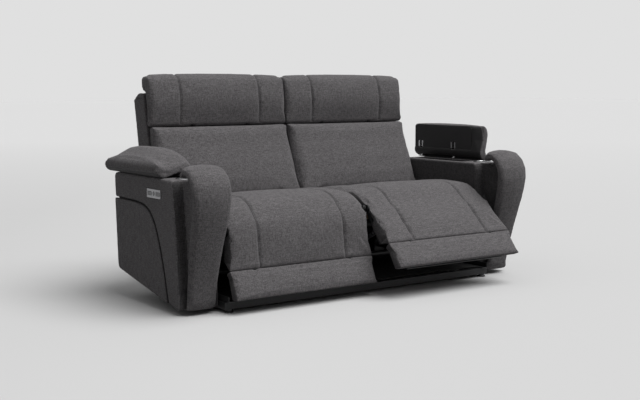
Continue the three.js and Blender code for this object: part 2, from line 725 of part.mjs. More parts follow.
// Side plate outline
const plateFront = 67;
const plateRear = 690;
const plateFoot = frameTop + fitGap;
const plateStripHeight = 26;
const plateTop = 335;
const plateFlangeWidth = 32;
const plateWebFront = 205;
const earRadius = 11;
const backEarRadius = 22;
const windowDepths = [[385, 470], [505, 590]];
const windowHeights = [110, 245];
const windowCorner = 30;

function sidePlate(side) {
  const web = outline([
    [plateFront, plateFoot, 0], [plateRear, plateFoot, 0],
    [plateRear, plateFoot + plateStripHeight, 0],
    [backPivot[0] + backEarRadius, plateFoot + plateStripHeight * 2, backEarRadius],
    [backPivot[0] + backEarRadius, backPivot[1] + backEarRadius, backEarRadius],
    [backPivot[0] - backEarRadius, backPivot[1] + backEarRadius, backEarRadius],
    [backPivot[0] - backEarRadius, plateTop, 0],
    [plateWebFront, plateTop, bossRadius],
    [footrestPivot[0] + earRadius, footrestPivot[1] + earRadius, earRadius],
    [footrestPivot[0] - earRadius, footrestPivot[1] + earRadius, earRadius],
    [footrestPivot[0] - earRadius, footrestPivot[1] - earRadius, earRadius],
    [plateWebFront, plateTop - plateStripHeight, bossRadius],
    [plateWebFront, plateFoot + plateStripHeight * 2, bossRadius * 2],
    [plateWebFront - bossRadius * 2, plateFoot + plateStripHeight, bossRadius],
    [plateFront, plateFoot + plateStripHeight, 0],
  ]);
  web.holes.push(circle(footrestPivot, pinRadius + runningGap),
    circle(backPivot, backPinRadius + runningGap),
    circle(crankPivot, shaftRadius + runningGap));
  windowDepths.forEach(depths => web.holes.push(rectangle(depths, windowHeights, windowCorner / 2)));
  const inner = side * (plateU - plateFlangeWidth);
  const flange = [inner, side * plateU].sort((a, b) => a - b);
  const foot = block(flange, [plateFront, plateRear], [plateFoot, plateFoot + sheetThickness]);
  const ledge = block(flange, [plateWebFront + bossRadius, backPivot[0] - backEarRadius * 2],
    [plateTop - sheetThickness, plateTop]);
  return joined(acrossX(web, sheet(plateU, side), cornerSteps - 1), foot, ledge);
}

// Torque tube with a crank at each end and the drive lever in the middle
const tubeRadius = 13;
const leverReach = 70;
const leverAngle = 40;
const leverThickness = 8;
const leverWidth = 20;
const driveSpan = 14;
const leverEnd = [
  crankPivot[0] + leverReach * Math.sin(degrees(leverAngle)),
  crankPivot[1] - leverReach * Math.cos(degrees(leverAngle)),
];

function crankShaft() {
  const reach = plateU + sheetThickness;
  const shaft = rodX(shaftRadius, [-reach, reach], ...crankPivot, roundSteps);
  const tube = rodX(tubeRadius, [-earU, earU], ...crankPivot, roundSteps);
  const cranks = [-1, 1].flatMap(side => [
    acrossX(roundBar(crankPivot, crankEnd, linkWidth), sheet(earU, side)),
    rodX(pinRadius, [side * earU, side * (linkU - sheetThickness)].sort((a, b) => a - b), ...crankEnd),
  ]);
  const lever = acrossX(roundBar(crankPivot, leverEnd, leverWidth),
    [-leverThickness / 2, leverThickness / 2]);
  const pin = rodX(pinRadius, [-driveSpan, driveSpan], ...leverEnd);
  return joined(tube, shaft, ...cranks, lever, pin);
}

// Two links, joined by the rod at their front ends that carries the footrest board
function driveLink() {
  const hole = circle(crankEnd, pinRadius + runningGap);
  const bar = roundBar(crankEnd, linkFront, linkWidth, [hole]);
  const bars = [-1, 1].map(side => acrossX(bar, sheet(linkU, side)));
  const rod = rodX(pinRadius, [-earU - sheetThickness / 2, earU + sheetThickness / 2], ...linkFront);
  return joined(rod, ...bars);
}

// Fixed drive: two cross tubes, a rail and the motor with its gearbox
const driveHeight = 150;
const railWidth = 26;
const railThickness = 22;
const railFront = 238;
const crossTubeFront = 245;
const crossTubeRear = 560;
const crossTubeRadius = 12;
const gearboxDepths = [470, 545];
const gearboxHalf = 30;
const gearboxDropShare = 1.4;
const motorRadius = 25;
const motorLength = 130;
const driveTravel = leverReach * Math.sin(degrees(leverAngle)) * 2;

function driveUnit() {
  const rail = block([-railWidth / 2, railWidth / 2], [railFront, crossTubeRear],
    [driveHeight - railThickness / 2, driveHeight + railThickness / 2]);
  const reach = plateU - sheetThickness / 2 - fitGap;
  const tubes = [crossTubeFront, crossTubeRear].map(depth =>
    rodX(crossTubeRadius, [-reach, reach], depth, driveHeight));
  const gearboxHeights = [driveHeight - gearboxHalf * gearboxDropShare, driveHeight + gearboxHalf];
  const gearbox = acrossX(rectangle(gearboxDepths, gearboxHeights, gearboxHalf / 3),
    [-gearboxHalf, gearboxHalf]);
  const motor = rodX(motorRadius, [0, motorLength], (gearboxDepths[0] + gearboxDepths[1]) / 2,
    driveHeight - gearboxHalf / 3, roundSteps);
  return joined(rail, ...tubes, gearbox, motor);
}

// The block that slides on the rail; its fork holds the lever's pin in two upright slots
const blockLength = 46;
const cheekThickness = 6;
const forkThickness = 6;
const forkRise = 10;
const slotSide = 2.5;

function driveBlock() {
  const front = leverEnd[0] - blockLength / 2;
  const rear = leverEnd[0] + blockLength / 2;
  const railTop = driveHeight + railThickness / 2 + fitGap;
  const bridge = railTop + cheekThickness * 2;
  const half = railWidth / 2 + fitGap;
  const saddle = block([-half - cheekThickness, half + cheekThickness], [front, rear],
    [driveHeight - railThickness / 2, bridge]);
  const channel = block([-half, half], [front - cutOverrun, rear + cutOverrun],
    [driveHeight - railThickness, railTop]);
  const forkInner = leverThickness / 2 + runningGap * 3;
  const forkTop = leverEnd[1] + pinRadius + forkRise + slotSide;
  const lowest = crankPivot[1] - leverReach;
  const slot = roundBar([leverEnd[0], lowest - slotSide], [leverEnd[0], leverEnd[1] + slotSide],
    (pinRadius + slotSide) * 2);
  const forks = [-1, 1].map(side => {
    const span = [side * forkInner, side * (forkInner + forkThickness)].sort((a, b) => a - b);
    const plate = rectangle([front, rear], [bridge - cheekThickness, forkTop], forkRise);
    return cut(acrossX(plate, span), acrossX(slot, [span[0] - cutOverrun, span[1] + cutOverrun]));
  });
  return joined(cut(saddle, channel), ...forks);
}

// Seat frame: a ring of rails on the ledges of the side plates, with springs from front to rear
const seatFrameHalf = plateU - sheetThickness / 2 - fitGap;
const seatFrameDepths = [150, 594];
const seatFrameThickness = 22;
const seatRailWidth = 40;
const springCount = 5;
const springRadius = 4;
const seatFrameBottom = plateTop + fitGap;
const seatFrameTop = seatFrameBottom + seatFrameThickness;

function seatFrame() {
  const plan = rectangle([-seatFrameHalf, seatFrameHalf], seatFrameDepths);
  plan.holes.push(rectangle([-seatFrameHalf + seatRailWidth, seatFrameHalf - seatRailWidth],
    [seatFrameDepths[0] + seatRailWidth, seatFrameDepths[1] - seatRailWidth]));
  const springs = Array.from({ length: springCount }, (_, index) => {
    const share = (index + 1) / (springCount + 1);
    const u = THREE.MathUtils.lerp(-seatFrameHalf + seatRailWidth, seatFrameHalf - seatRailWidth, share);
    const [front, rear] = seatFrameDepths;
    return rodY(springRadius, u, [front + seatRailWidth / 2, rear - seatRailWidth / 2],
      seatFrameTop - springRadius * 2);
  });
  return joined(upZ(plan, [seatFrameBottom, seatFrameTop]), ...springs);
}

// Side outline points [y, z, softness] or pairs, from a table of shares of one length
const scaled = (shares, size) =>
  shares.map(([first, second, ...rest]) => [first * size, second * size, ...rest]);

// An arc of cushion points around a pivot, between two angles in degrees
const arcPoints = (centre, radius, angles, softness = 0) => angles.map(angle =>
  [centre[0] + radius * Math.cos(degrees(angle)), centre[1] + radius * Math.sin(degrees(angle)), softness]);

// Seat cushion, from the nose at the footrest pivot to the foot of the back
const seatTopFront = 215;
const seatRear = 596;
const seatRearHeight = 445;
const seatRollDepth = 137;
const seatRollHeight = 449;
const noseRadius = 14;
const seatBottom = seatFrameTop + fitGap;
const seatFrontDepth = 150;
const seatCrown = 14;
const seatEndRound = 22;
const seamDepth = 7;
const seatSeamShare = 0.6;
const endNotch = 5;
const seatTopShares = [[0.75, 0.3], [0.5, 0.65], [0.22, 0.94]];

function seatCushion() {
  const topPoints = seatTopShares.map(([depthShare, heightShare]) => [
    THREE.MathUtils.lerp(seatTopFront, seatRear, depthShare),
    THREE.MathUtils.lerp(seatRearHeight, seatTopHeight, heightShare), 1]);
  const profile = [
    [seatRear, seatRearHeight, 0.1], ...topPoints, [seatTopFront, seatTopHeight, 1],
    [(seatTopFront + seatRollDepth) / 2, (seatTopHeight + seatRollHeight) / 2 + noseRadius / 3, 1],
    [seatRollDepth, seatRollHeight, 0.8],
    ...arcPoints(footrestPivot, noseRadius, [112, 150, 190, 230, 265]),
    [seatFrontDepth - noseRadius, footrestPivot[1] - noseRadius, 0],
    [seatFrontDepth, seatBottom, 0], [seatRear, seatBottom, 0],
    [seatRear + fitGap, seatRearHeight - seatEndRound, 0],
  ];
  const whole = cushion(profile, {
    halfWidth: seatHalfWidth, crown: seatCrown, seamShares: [seatSeamShare], seamDepth,
    endRound: seatEndRound,
  });
  return cut(whole, ...[-1, 1].map(side => acrossX(outline([
    [footrestPivot[0] - noseRadius - endNotch, plateTop, 0],
    [footrestPivot[0] - noseRadius - endNotch, footrestPivot[1] + earRadius + endNotch / 2, 0],
    [footrestPivot[0] + earRadius + endNotch, footrestPivot[1] + earRadius + endNotch / 2, 0],
    [plateWebFront + endNotch * 2, plateTop + endNotch, 0], [plateWebFront, plateTop, 0],
  ]), [side * (earU - sheetThickness), side * seatWidth / 2].sort((a, b) => a - b))));
}

// A pair of lugs side by side on one pin, and the slot in the cushion around them
const lugThickness = 4;
const lugRoom = 3;

function lugPair(middle) {
  const inner = [middle - lugThickness / 2, middle + lugThickness / 2];
  const outer = [inner[1] + sheetGap, inner[1] + sheetGap + lugThickness];
  return { inner, outer, slot: [inner[0] - lugRoom, outer[1] + lugRoom] };
}

// Calf section of the footrest: board with ears and lugs, and its pad
const calfRecess = 20;
const calfBack = 111.7;
const calfBoardThickness = 10;
const calfTop = 372;
const calfWedgeAngle = 23;
const calfFrontShares = [[0.14286, 0.80672, 0.1], [0.12395, 0.72479, 0.8], [0.11345, 0.62185, 1],
  [0.09874, 0.5042, 0.9], [0.08403, 0.42857, 0.3], [0.08824, 0.39286, 0]];
const calfFrontPoints = scaled(calfFrontShares, seatTopHeight);
const footrestCrown = 7;
const lugU = 250;
const lugWidth = 12;
const footPinRadius = 3.5;
const lugCover = 0.5;
const { inner: footLug, outer: calfLug, slot: lugNotch } = lugPair(lugU);
const padGap = 2;
const lugNotchFront = footPivot[0] - lugWidth / 2 - lugCover;
const boardFront = calfBack + fitGap;
const boardBottom = 214;
const boardTop = 370;

const bothSides = make => [-1, 1].map(make);
const span = (side, from, to) => [side * from, side * to].sort((a, b) => a - b);

function calfPad() {
  const wedgeRise = (calfBack - footPivot[0]) * Math.tan(degrees(calfWedgeAngle));
  const profile = [
    ...arcPoints(footrestPivot, calfRecess, [285, 255, 225, 197]), ...calfFrontPoints,
    [footPivot[0], footPivot[1] + padGap, 0], [calfBack, footPivot[1] + padGap + wedgeRise, 0],
    [calfBack, calfTop, 0],
  ];
  const whole = cushion(profile, {
    halfWidth: seatHalfWidth, crown: footrestCrown, seamShares: [seatSeamShare], seamDepth,
    endRound: seatEndRound / 2,
  });
  const lugs = bothSides(side => block(span(side, ...lugNotch),
    [lugNotchFront, calfBack + cutOverrun], [footPivot[1] - lugWidth, boardBottom + lugWidth]));
  const ears = bothSides(side => block(span(side, earU - sheetThickness, seatWidth / 2),
    [footrestPivot[0] - earRadius - endNotch / 2, calfBack + cutOverrun],
    [calfTop - earRadius * 4, footrestPivot[1] + earRadius]));
  return cut(whole, ...lugs, ...ears);
}

function calfBoard() {
  const board = block([-earU - sheetThickness / 2, earU + sheetThickness / 2],
    [boardFront, boardFront + calfBoardThickness], [boardBottom, boardTop]);
  const middle = boardFront + calfBoardThickness / 2;
  const ears = bothSides(side => acrossX(
    roundBar([middle, boardTop - earRadius * 2], footrestPivot, earRadius * 2 - padGap), sheet(earU, side)));
  const pins = bothSides(side => rodX(pinRadius,
    span(side, earU, plateU + sheetThickness / 2 + fitGap), ...footrestPivot));
  const hole = circle(linkFront, pinRadius + sheetGap / 2);
  const linkEars = bothSides(side => acrossX(
    roundBar([boardFront + earRadius, linkFront[1]], linkFront, earRadius * 2, [hole]), sheet(earU, side)));
  const lugHole = circle(footPivot, footPinRadius + runningGap);
  const lugs = bothSides(side => acrossX(
    roundBar([middle, boardBottom + padGap], footPivot, lugWidth, [lugHole]), span(side, ...calfLug)));
  return joined(board, ...ears, ...pins, ...linkEars, ...lugs);
}

// Foot section: the lip that stays half a turn behind the calf section
const footRearTopShare = [0.17017, 0.35294];
const footRearTop = footRearTopShare.map(share => share * seatTopHeight);
const footFrontShares = [[0.08613, 0.37605, 0], [0.06513, 0.33613, 0.5], [0.02521, 0.2521, 1],
  [-0.0084, 0.17227, 0.8], [-0.02731, 0.13025, 0.2]];
const footFrontPoints = scaled(footFrontShares, seatTopHeight);
const footBottomShares = [[-0.01891, 0.11555, 0], [0.07563, 0.11345, 0], [0.08613, 0.12395, 0]];
const footBottomPoints = scaled(footBottomShares, seatTopHeight);
const footBoardLength = 108;
const footNotchDepth = 23;

function footPad() {
  const profile = [
    [footPivot[0], footPivot[1] - padGap, 0], ...footFrontPoints, ...footBottomPoints, [...footRearTop, 0],
  ];
  const whole = cushion(profile, {
    halfWidth: seatHalfWidth, crown: footrestCrown, endRound: seatEndRound / 2,
  });
  const notchHeights = [footRearTop[1] - footNotchDepth, footPivot[1] + lugWidth];
  return cut(whole, ...bothSides(side => block(span(side, ...lugNotch),
    [lugNotchFront, footRearTop[0] + lugWidth], notchHeights)));
}

function footBoard() {
  const low = footBottomPoints.at(-1);
  const way = new THREE.Vector2(footRearTop[0] - low[0], footRearTop[1] - low[1]).normalize();
  const off = new THREE.Vector2(way.y, -way.x);
  const at = (distance, depth) =>
    [low[0] + way.x * distance + off.x * depth, low[1] + way.y * distance + off.y * depth];
  const half = lugU + lugWidth * 4;
  const board = acrossX(outline([at(0, fitGap), at(0, calfBoardThickness),
    at(footBoardLength, calfBoardThickness), at(footBoardLength, fitGap)]), [-half, half]);
  const notches = bothSides(side => block(span(side, footLug[1], lugNotch[1]),
    [footPivot[0], calfBack + lugWidth], [footRearTop[1] - lugWidth * 2, footPivot[1]]));
  const hole = circle(footPivot, footPinRadius - fitGap);
  const lug = roundBar(at(footBoardLength - lugWidth / 2, calfBoardThickness / 2), footPivot, lugWidth);
  const lugs = bothSides(side => acrossX(lug, span(side, ...footLug)));
  const pins = bothSides(side => rodX(footPinRadius, span(side, footLug[0], calfLug[1]), ...footPivot));
  return joined(cut(board, ...notches), ...lugs, ...pins);
}

// Back: an upholstered shell with ears, its cushion, and the headrest that tilts over it
const backFaceShares = [[0.28447, 0.79262], [0.4886, 0.8013], [0.74376, 0.84908], [1, 0.89685]];
const backFacePairs = scaled(backFaceShares, shellTop);
const backFaceAt = height => along(backFacePairs, height);
const shellRearShares = [[1.0076, 0.9696, 0.3], [0.99023, 0.86862, 0.8], [0.96851, 0.73833, 1],
  [0.93377, 0.53203, 1], [0.89685, 0.31488, 0.6], [0.88817, 0.27362, 0]];
const shellRearPoints = scaled(shellRearShares, shellTop);
const shellCrown = 5;
const backEarReachShare = [0.81433, 0.4126];
const backEarReach = backEarReachShare.map(share => share * shellTop);
const backEarWidth = 30;
const headLugU = 150;
const headLugWidth = 20;
const { inner: headLug, outer: headEar, slot: headSlot } = lugPair(headLugU);

function backFrame() {
  const profile = [
    [backFaceAt(shellTop), shellTop, 0],
    [(backFaceAt(shellTop) + shellRearPoints[0][0]) / 2, shellTop + padGap, 0.5],
    ...shellRearPoints, [backFacePairs[0][1], backFacePairs[0][0], 0],
    [backFacePairs[1][1], backFacePairs[1][0], 0], [backFacePairs[2][1], backFacePairs[2][0], 0],
  ];
  const shell = cushion(profile, { halfWidth: seatHalfWidth, crown: shellCrown, endRound: seatEndRound / 3 });
  const ears = bothSides(side => acrossX(roundBar(backEarReach, backPivot, backEarWidth), sheet(earU, side)));
  const pins = bothSides(side => rodX(backPinRadius,
    span(side, earU, plateU + sheetThickness / 2 + fitGap), ...backPivot, roundSteps));
  const headEars = bothSides(side => acrossX(roundBar(
    [backFaceAt(headrestPivot[1]) + headLugWidth, headrestPivot[1] + padGap], headrestPivot, headLugWidth),
  span(side, ...headEar)));
  const headPins = bothSides(side => rodX(pinRadius, span(side, headLug[0], headEar[1]), ...headrestPivot));
  return joined(shell, ...ears, ...pins, ...headEars, ...headPins);
}

const backCushionFrontShares = [[0.79805, 0.8165, 0.3], [0.77742, 0.77307, 0.9], [0.74484, 0.70358, 1],
  [0.71118, 0.62975, 1], [0.68187, 0.55157, 0.9], [0.66124, 0.48426, 0.3]];
const backCushionFront = scaled(backCushionFrontShares, shellTop);
const backCushionLowShares = [[0.66232, 0.44734, 0.3], [0.68187, 0.43214, 0]];
const backCushionLow = scaled(backCushionLowShares, shellTop);
const backCushionTop = 748;
const backCushionPeakShare = [0.79805, 0.8241];
const backCushionPeak = backCushionPeakShare.map(share => share * shellTop);
const backCrown = 16;

function backCushion() {
  const rear = height => [backFaceAt(height) - fitGap * 2, height, 0];
  const profile = [
    ...backCushionFront, ...backCushionLow,
    rear(backCushionLow.at(-1)[1]), rear(backFacePairs[1][0]), rear(backFacePairs[2][0]),
    rear(backCushionTop),
    [(backCushionPeak[0] + backFaceAt(backCushionTop)) / 2, backCushionPeak[1], 0.1],
  ];
  return cushion(profile, { halfWidth: seatHalfWidth, crown: backCrown, endRound: seatEndRound });
}

const headrestRadius = 26;
const headrestFrontShares = [[0.8165, 1.07492, 0.5], [0.80999, 1.02063, 1], [0.8089, 0.96091, 1],
  [0.81216, 0.90119, 0.6]];
const headrestFront = scaled(headrestFrontShares, shellTop);
const headrestTopShares = [[0.89685, 1.00434, 0], [0.91857, 1.01846, 0], [0.93051, 1.04452, 0.1],
  [0.93051, 1.07709, 0.3], [0.90988, 1.09663, 0.4], [0.87405, 1.10315, 0.5], [0.83931, 1.09663, 0.5]];
const headrestTop = scaled(headrestTopShares, shellTop);
const headrestCrown = 9;
const headrestSeamShare = 0.58;
const bracketHeightsShare = [0.90662, 0.98263];
const bracketHeights = bracketHeightsShare.map(share => share * shellTop);
const bracketThickness = 10;
const bracketRearGaps = 8;
const bracketHalf = 165;

function headrestBoardOutline(gap) {
  return outline([
    [backFaceAt(bracketHeights[0]) - bracketThickness - gap, bracketHeights[0] - gap, 0],
    [backFaceAt(bracketHeights[0]) - padGap + gap * bracketRearGaps, bracketHeights[0] - gap, 0],
    [backFaceAt(bracketHeights[1]) - padGap + gap * bracketRearGaps, bracketHeights[1] + gap, 0],
    [backFaceAt(bracketHeights[1]) - bracketThickness - gap, bracketHeights[1] + gap, 0],
  ]);
}

function headrestCushion() {
  const profile = [
    ...headrestFront, ...arcPoints(headrestPivot, headrestRadius, [180, 215, 250, 285, 320, 345]),
    [backFaceAt(headrestPivot[1]) - fitGap, headrestPivot[1] + padGap * 2, 0],
    [backFaceAt(shellTop) - fitGap * 3, shellTop - fitGap * 10, 0], ...headrestTop,
  ];
  const whole = cushion(profile, {
    halfWidth: seatHalfWidth, crown: headrestCrown, seamShares: [headrestSeamShare], seamDepth,
    endRound: seatEndRound / 1.5,
  });
  const slots = bothSides(side => block(span(side, ...headSlot),
    [headrestPivot[0] - headLugWidth / 2 - padGap, headrestTop[0][0]],
    [headrestPivot[1] - headrestRadius * 2, bracketHeights[0] + headLugWidth]));
  const pocket = acrossX(headrestBoardOutline(fitGap), [-bracketHalf - fitGap, bracketHalf + fitGap]);
  return cut(whole, ...slots, pocket);
}

function headrestBracket() {
  const board = acrossX(headrestBoardOutline(0), [-bracketHalf, bracketHalf]);
  const hole = circle(headrestPivot, pinRadius + runningGap);
  const root = [backFaceAt(bracketHeights[0]) - bracketThickness / 2 - padGap * 2,
    bracketHeights[0] + bracketThickness / 2];
  const lug = roundBar(root, headrestPivot, headLugWidth - padGap * 2, [hole]);
  const lugs = bothSides(side => acrossX(lug, span(side, ...headLug)));
  return joined(board, ...lugs);
}

const pointOf = ([y, z]) => new THREE.Vector3(0, y, z);

function seat(side, sign) {
  const opened = footrestAngles[side];
  const base = new THREE.Group();
  base.position.x = sign * seatCentre;
  frame.add(base);
  // Groups inside groups: each stands at its pivot, given in the frame of the one that carries it
  const within = (point, parent) => new THREE.Vector3().subVectors(pointOf(point), pointOf(parent));
  const backward = axisX.clone().negate();

  place(`${side}_outer_plate`, sidePlate(sign), paintedSteel, base);
  place(`${side}_inner_plate`, sidePlate(-sign), paintedSteel, base);
  place(`${side}_drive_unit`, driveUnit(), paintedSteel, base);
  place(`${side}_seat_frame`, seatFrame(), wood, base);
  place(`${side}_seat_cushion`, seatCushion(), fabric, base);

  const crank = hinge(`${side}_crank`, base, pointOf(crankPivot), backward, opened);
  place(`${side}_crank_shaft`, about(crankShaft(), pointOf(crankPivot)), paintedSteel, crank);
  const link = hinge(`${side}_drive_link`, crank, within(crankEnd, crankPivot), backward, -opened);
  place(`${side}_drive_link`, about(driveLink(), pointOf(crankEnd)), zincSteel, link);

  const drive = new THREE.Group();
  drive.position.y = -driveTravel * opened / (leverAngle * 2);
  drive.userData.joint = `${side}_drive_block`;
  base.add(drive);
  place(`${side}_drive_block`, driveBlock(), paintedSteel, drive);

  const calf = hinge(`${side}_footrest`, base, pointOf(footrestPivot), backward, opened);
  place(`${side}_calf_board`, about(calfBoard(), pointOf(footrestPivot)), paintedSteel, calf);
  place(`${side}_calf_pad`, about(calfPad(), pointOf(footrestPivot)), fabric, calf);
  const lag = opened * footLagShare;
  const foot = hinge(`${side}_foot_lip`, calf, within(footPivot, footrestPivot), backward, lag);
  place(`${side}_foot_board`, about(footBoard(), pointOf(footPivot)), paintedSteel, foot);
  place(`${side}_foot_pad`, about(footPad(), pointOf(footPivot)), fabric, foot);

  const back = hinge(`${side}_back`, base, pointOf(backPivot), backward);
  place(`${side}_back_frame`, about(backFrame(), pointOf(backPivot)), fabric, back);
  place(`${side}_back_cushion`, about(backCushion(), pointOf(backPivot)), fabric, back);
  const headrest = hinge(`${side}_headrest`, back, within(headrestPivot, backPivot), axisX);
  place(`${side}_headrest_bracket`, about(headrestBracket(), pointOf(headrestPivot)), paintedSteel, headrest);
  place(`${side}_headrest_cushion`, about(headrestCushion(), pointOf(headrestPivot)), fabric, headrest);
}

seat('left', -1);
seat('right', 1);

// The sofa stands with the middle of its box at the origin, on the floor
const bounds = new THREE.Box3().setFromObject(sofa, true);
frame.position.set(-(bounds.min.x + bounds.max.x) / 2, -(bounds.min.y + bounds.max.y) / 2, -bounds.min.z);

export default sofa;
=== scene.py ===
"""A two-seat power recliner sofa with a console in each arm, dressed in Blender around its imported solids."""

import json
import math

import bmesh
import bpy
from mathutils import Matrix, Vector
from mathutils.bvhtree import BVHTree


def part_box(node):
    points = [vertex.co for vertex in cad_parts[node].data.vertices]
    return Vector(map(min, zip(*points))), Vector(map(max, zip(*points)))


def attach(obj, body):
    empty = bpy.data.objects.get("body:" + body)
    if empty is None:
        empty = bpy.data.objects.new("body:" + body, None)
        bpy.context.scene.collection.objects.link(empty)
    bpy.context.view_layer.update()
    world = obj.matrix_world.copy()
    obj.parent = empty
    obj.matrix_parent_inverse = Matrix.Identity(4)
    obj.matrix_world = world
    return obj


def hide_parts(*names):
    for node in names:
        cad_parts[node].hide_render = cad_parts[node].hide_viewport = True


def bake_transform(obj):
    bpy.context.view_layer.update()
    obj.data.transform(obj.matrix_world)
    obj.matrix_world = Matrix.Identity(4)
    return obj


bl_info = {
    "name": "Recliner sofa with arm consoles",
    "version": (1, 0, 0),
    "blender": (4, 5, 0),
    "location": "View3D > Sidebar > Sofa",
    "description": "Upholsters the recliner sofa and sets up its studio",
    "category": "Object",
}

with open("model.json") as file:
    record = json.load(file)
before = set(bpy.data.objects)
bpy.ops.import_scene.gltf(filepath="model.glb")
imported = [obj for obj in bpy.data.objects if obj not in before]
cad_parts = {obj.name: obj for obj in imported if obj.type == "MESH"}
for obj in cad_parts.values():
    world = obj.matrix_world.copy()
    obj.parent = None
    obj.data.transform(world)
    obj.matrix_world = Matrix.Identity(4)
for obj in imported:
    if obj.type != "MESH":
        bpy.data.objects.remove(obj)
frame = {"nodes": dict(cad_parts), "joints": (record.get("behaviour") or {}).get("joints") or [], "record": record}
NODES = frame["nodes"]
JOINTS = {joint["name"]: joint for joint in frame["joints"]}
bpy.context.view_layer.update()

# The camera as fitted to the photo, the way it looks as seen from above, and the way the sun shines
CAMERA_AT, CAMERA_TURN, CAMERA_LENS = (-3.0337, -4.1291, 0.9565), (83.88, 0.0, -35.64), 59.85
AHEAD = Vector((0.58, 0.81))
SUN_RAYS = Vector((-0.34, 0.42, -1.0))

# The two halves of the sofa mirror each other about this plane
MIDDLE_X = (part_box("left_seat_cushion")[0].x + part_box("right_seat_cushion")[1].x) / 2


def pivot(joint):
    return Vector(JOINTS[joint]["pos_m"])


def opening(joint):
    """Degrees by which the right half's joint stands open, where the left half's is closed."""
    left = JOINTS["left_" + joint]["range_deg"]
    right = JOINTS["right_" + joint]["range_deg"]
    return max(abs(left[0] - right[0]), abs(left[1] - right[1]))


# Sizes and colours


class SofaSizes(bpy.types.PropertyGroup):
    cover_mesh: bpy.props.FloatProperty(
        name="Cover mesh", description="Size of the faces of a padded cover", default=0.0075,
        subtype="DISTANCE")
    body_mesh: bpy.props.FloatProperty(
        name="Body mesh", description="Size of the faces of the arms and back shells", default=0.006,
        subtype="DISTANCE")
    panel_mesh: bpy.props.FloatProperty(
        name="Side panel mesh", description="Size of the faces of the side panels", default=0.004,
        subtype="DISTANCE")
    band_mesh: bpy.props.FloatProperty(
        name="Front band mesh", description="Size of the faces of the front bands", default=0.0055,
        subtype="DISTANCE")
    lid_mesh: bpy.props.FloatProperty(
        name="Lid mesh", description="Size of the faces of the console lids", default=0.005,
        subtype="DISTANCE")
    start_inset: bpy.props.FloatProperty(
        name="Inset before filling", description="How far a cushion is drawn in before it is inflated",
        default=0.006, subtype="DISTANCE")
    fill_pressure: bpy.props.FloatProperty(
        name="Fill pressure", description="Cloth pressure that fills a cushion", default=2.4)
    seam_depth: bpy.props.FloatProperty(
        name="Seam depth", description="Depth of a sewn seam", default=0.0045, subtype="DISTANCE")
    seam_width: bpy.props.FloatProperty(
        name="Seam width", description="Half the width of the valley at a seam", default=0.0075,
        subtype="DISTANCE")
    stitch_length: bpy.props.FloatProperty(
        name="Stitch length", description="Distance from one stitch to the next", default=0.006,
        subtype="DISTANCE")
    thread_offset: bpy.props.FloatProperty(
        name="Thread offset", description="Distance of the topstitching from its seam", default=0.006,
        subtype="DISTANCE")
    weave_size: bpy.props.FloatProperty(
        name="Weave size", description="Distance between the yarns of the cover", default=0.0021,
        subtype="DISTANCE")


def colour(name, description, default):
    return bpy.props.FloatVectorProperty(
        name=name, description=description, default=default, subtype="COLOR", size=3, min=0.0, max=1.0)


class SofaColours(bpy.types.PropertyGroup):
    yarn: colour("Yarn", "Main colour of the heather cover", (0.128, 0.121, 0.125))
    dark_yarn: colour("Dark yarn", "Dark flecks of the cover", (0.055, 0.051, 0.053))
    pale_yarn: colour("Pale yarn", "Pale flecks of the cover", (0.235, 0.226, 0.231))
    thread: colour("Thread", "Topstitching", (0.028, 0.027, 0.029))
    lining: colour("Lining", "Board and bin lining", (0.017, 0.016, 0.017))
    lacquer: colour("Lacquer", "Black paint of the mechanism", (0.012, 0.012, 0.013))
    frame_paint: colour("Frame paint", "Black paint of the base frame", (0.009, 0.009, 0.010))
    # Near black: a real dust cloth, whose colour also stands in for the shade under the seats
    dust_cloth: colour("Dust cloth", "Black cloth behind the mechanism", (0.008, 0.008, 0.008))
    zinc: colour("Zinc", "Zinc plated sheet steel", (0.42, 0.42, 0.43))
    chrome: colour("Chrome", "Cup holder and home button", (0.66, 0.66, 0.67))
    face_plate: colour("Face plate", "Brushed plate around the keys", (0.30, 0.30, 0.31))
    plastic: colour("Plastic", "Glides", (0.016, 0.016, 0.018))
    keys: colour("Keys", "Rocker keys and home button", (0.13, 0.13, 0.135))
    timber: colour("Timber", "Rails of the frame", (0.27, 0.18, 0.105))


class StudioSettings(bpy.types.PropertyGroup):
    floor: colour("Floor", "Colour of the floor around the sofa", (0.616, 0.616, 0.616))
    floor_afar: colour("Far floor", "Colour of the floor far behind the sofa", (0.650, 0.650, 0.650))
    floor_bounce: colour("Floor bounce", "Colour that the floor throws back at the sofa", (0.20, 0.20, 0.20))
    backdrop: colour("Backdrop", "Colour behind the sofa", (0.745, 0.745, 0.745))
    key_strength: bpy.props.FloatProperty(
        name="Key light", description="Strength of the sun from the top, front and right", default=2.9)
    overhead: bpy.props.FloatProperty(
        name="Overhead light", description="Strength of the light from straight above", default=0.42)
    around: bpy.props.FloatProperty(
        name="Light from around", description="Strength of the light from the horizon", default=0.06)


SETTINGS = (("sofa_sizes", SofaSizes), ("sofa_colours", SofaColours), ("sofa_studio", StudioSettings))


def sizes():
    return bpy.context.scene.sofa_sizes


def colours():
    return bpy.context.scene.sofa_colours


# Shader nodes


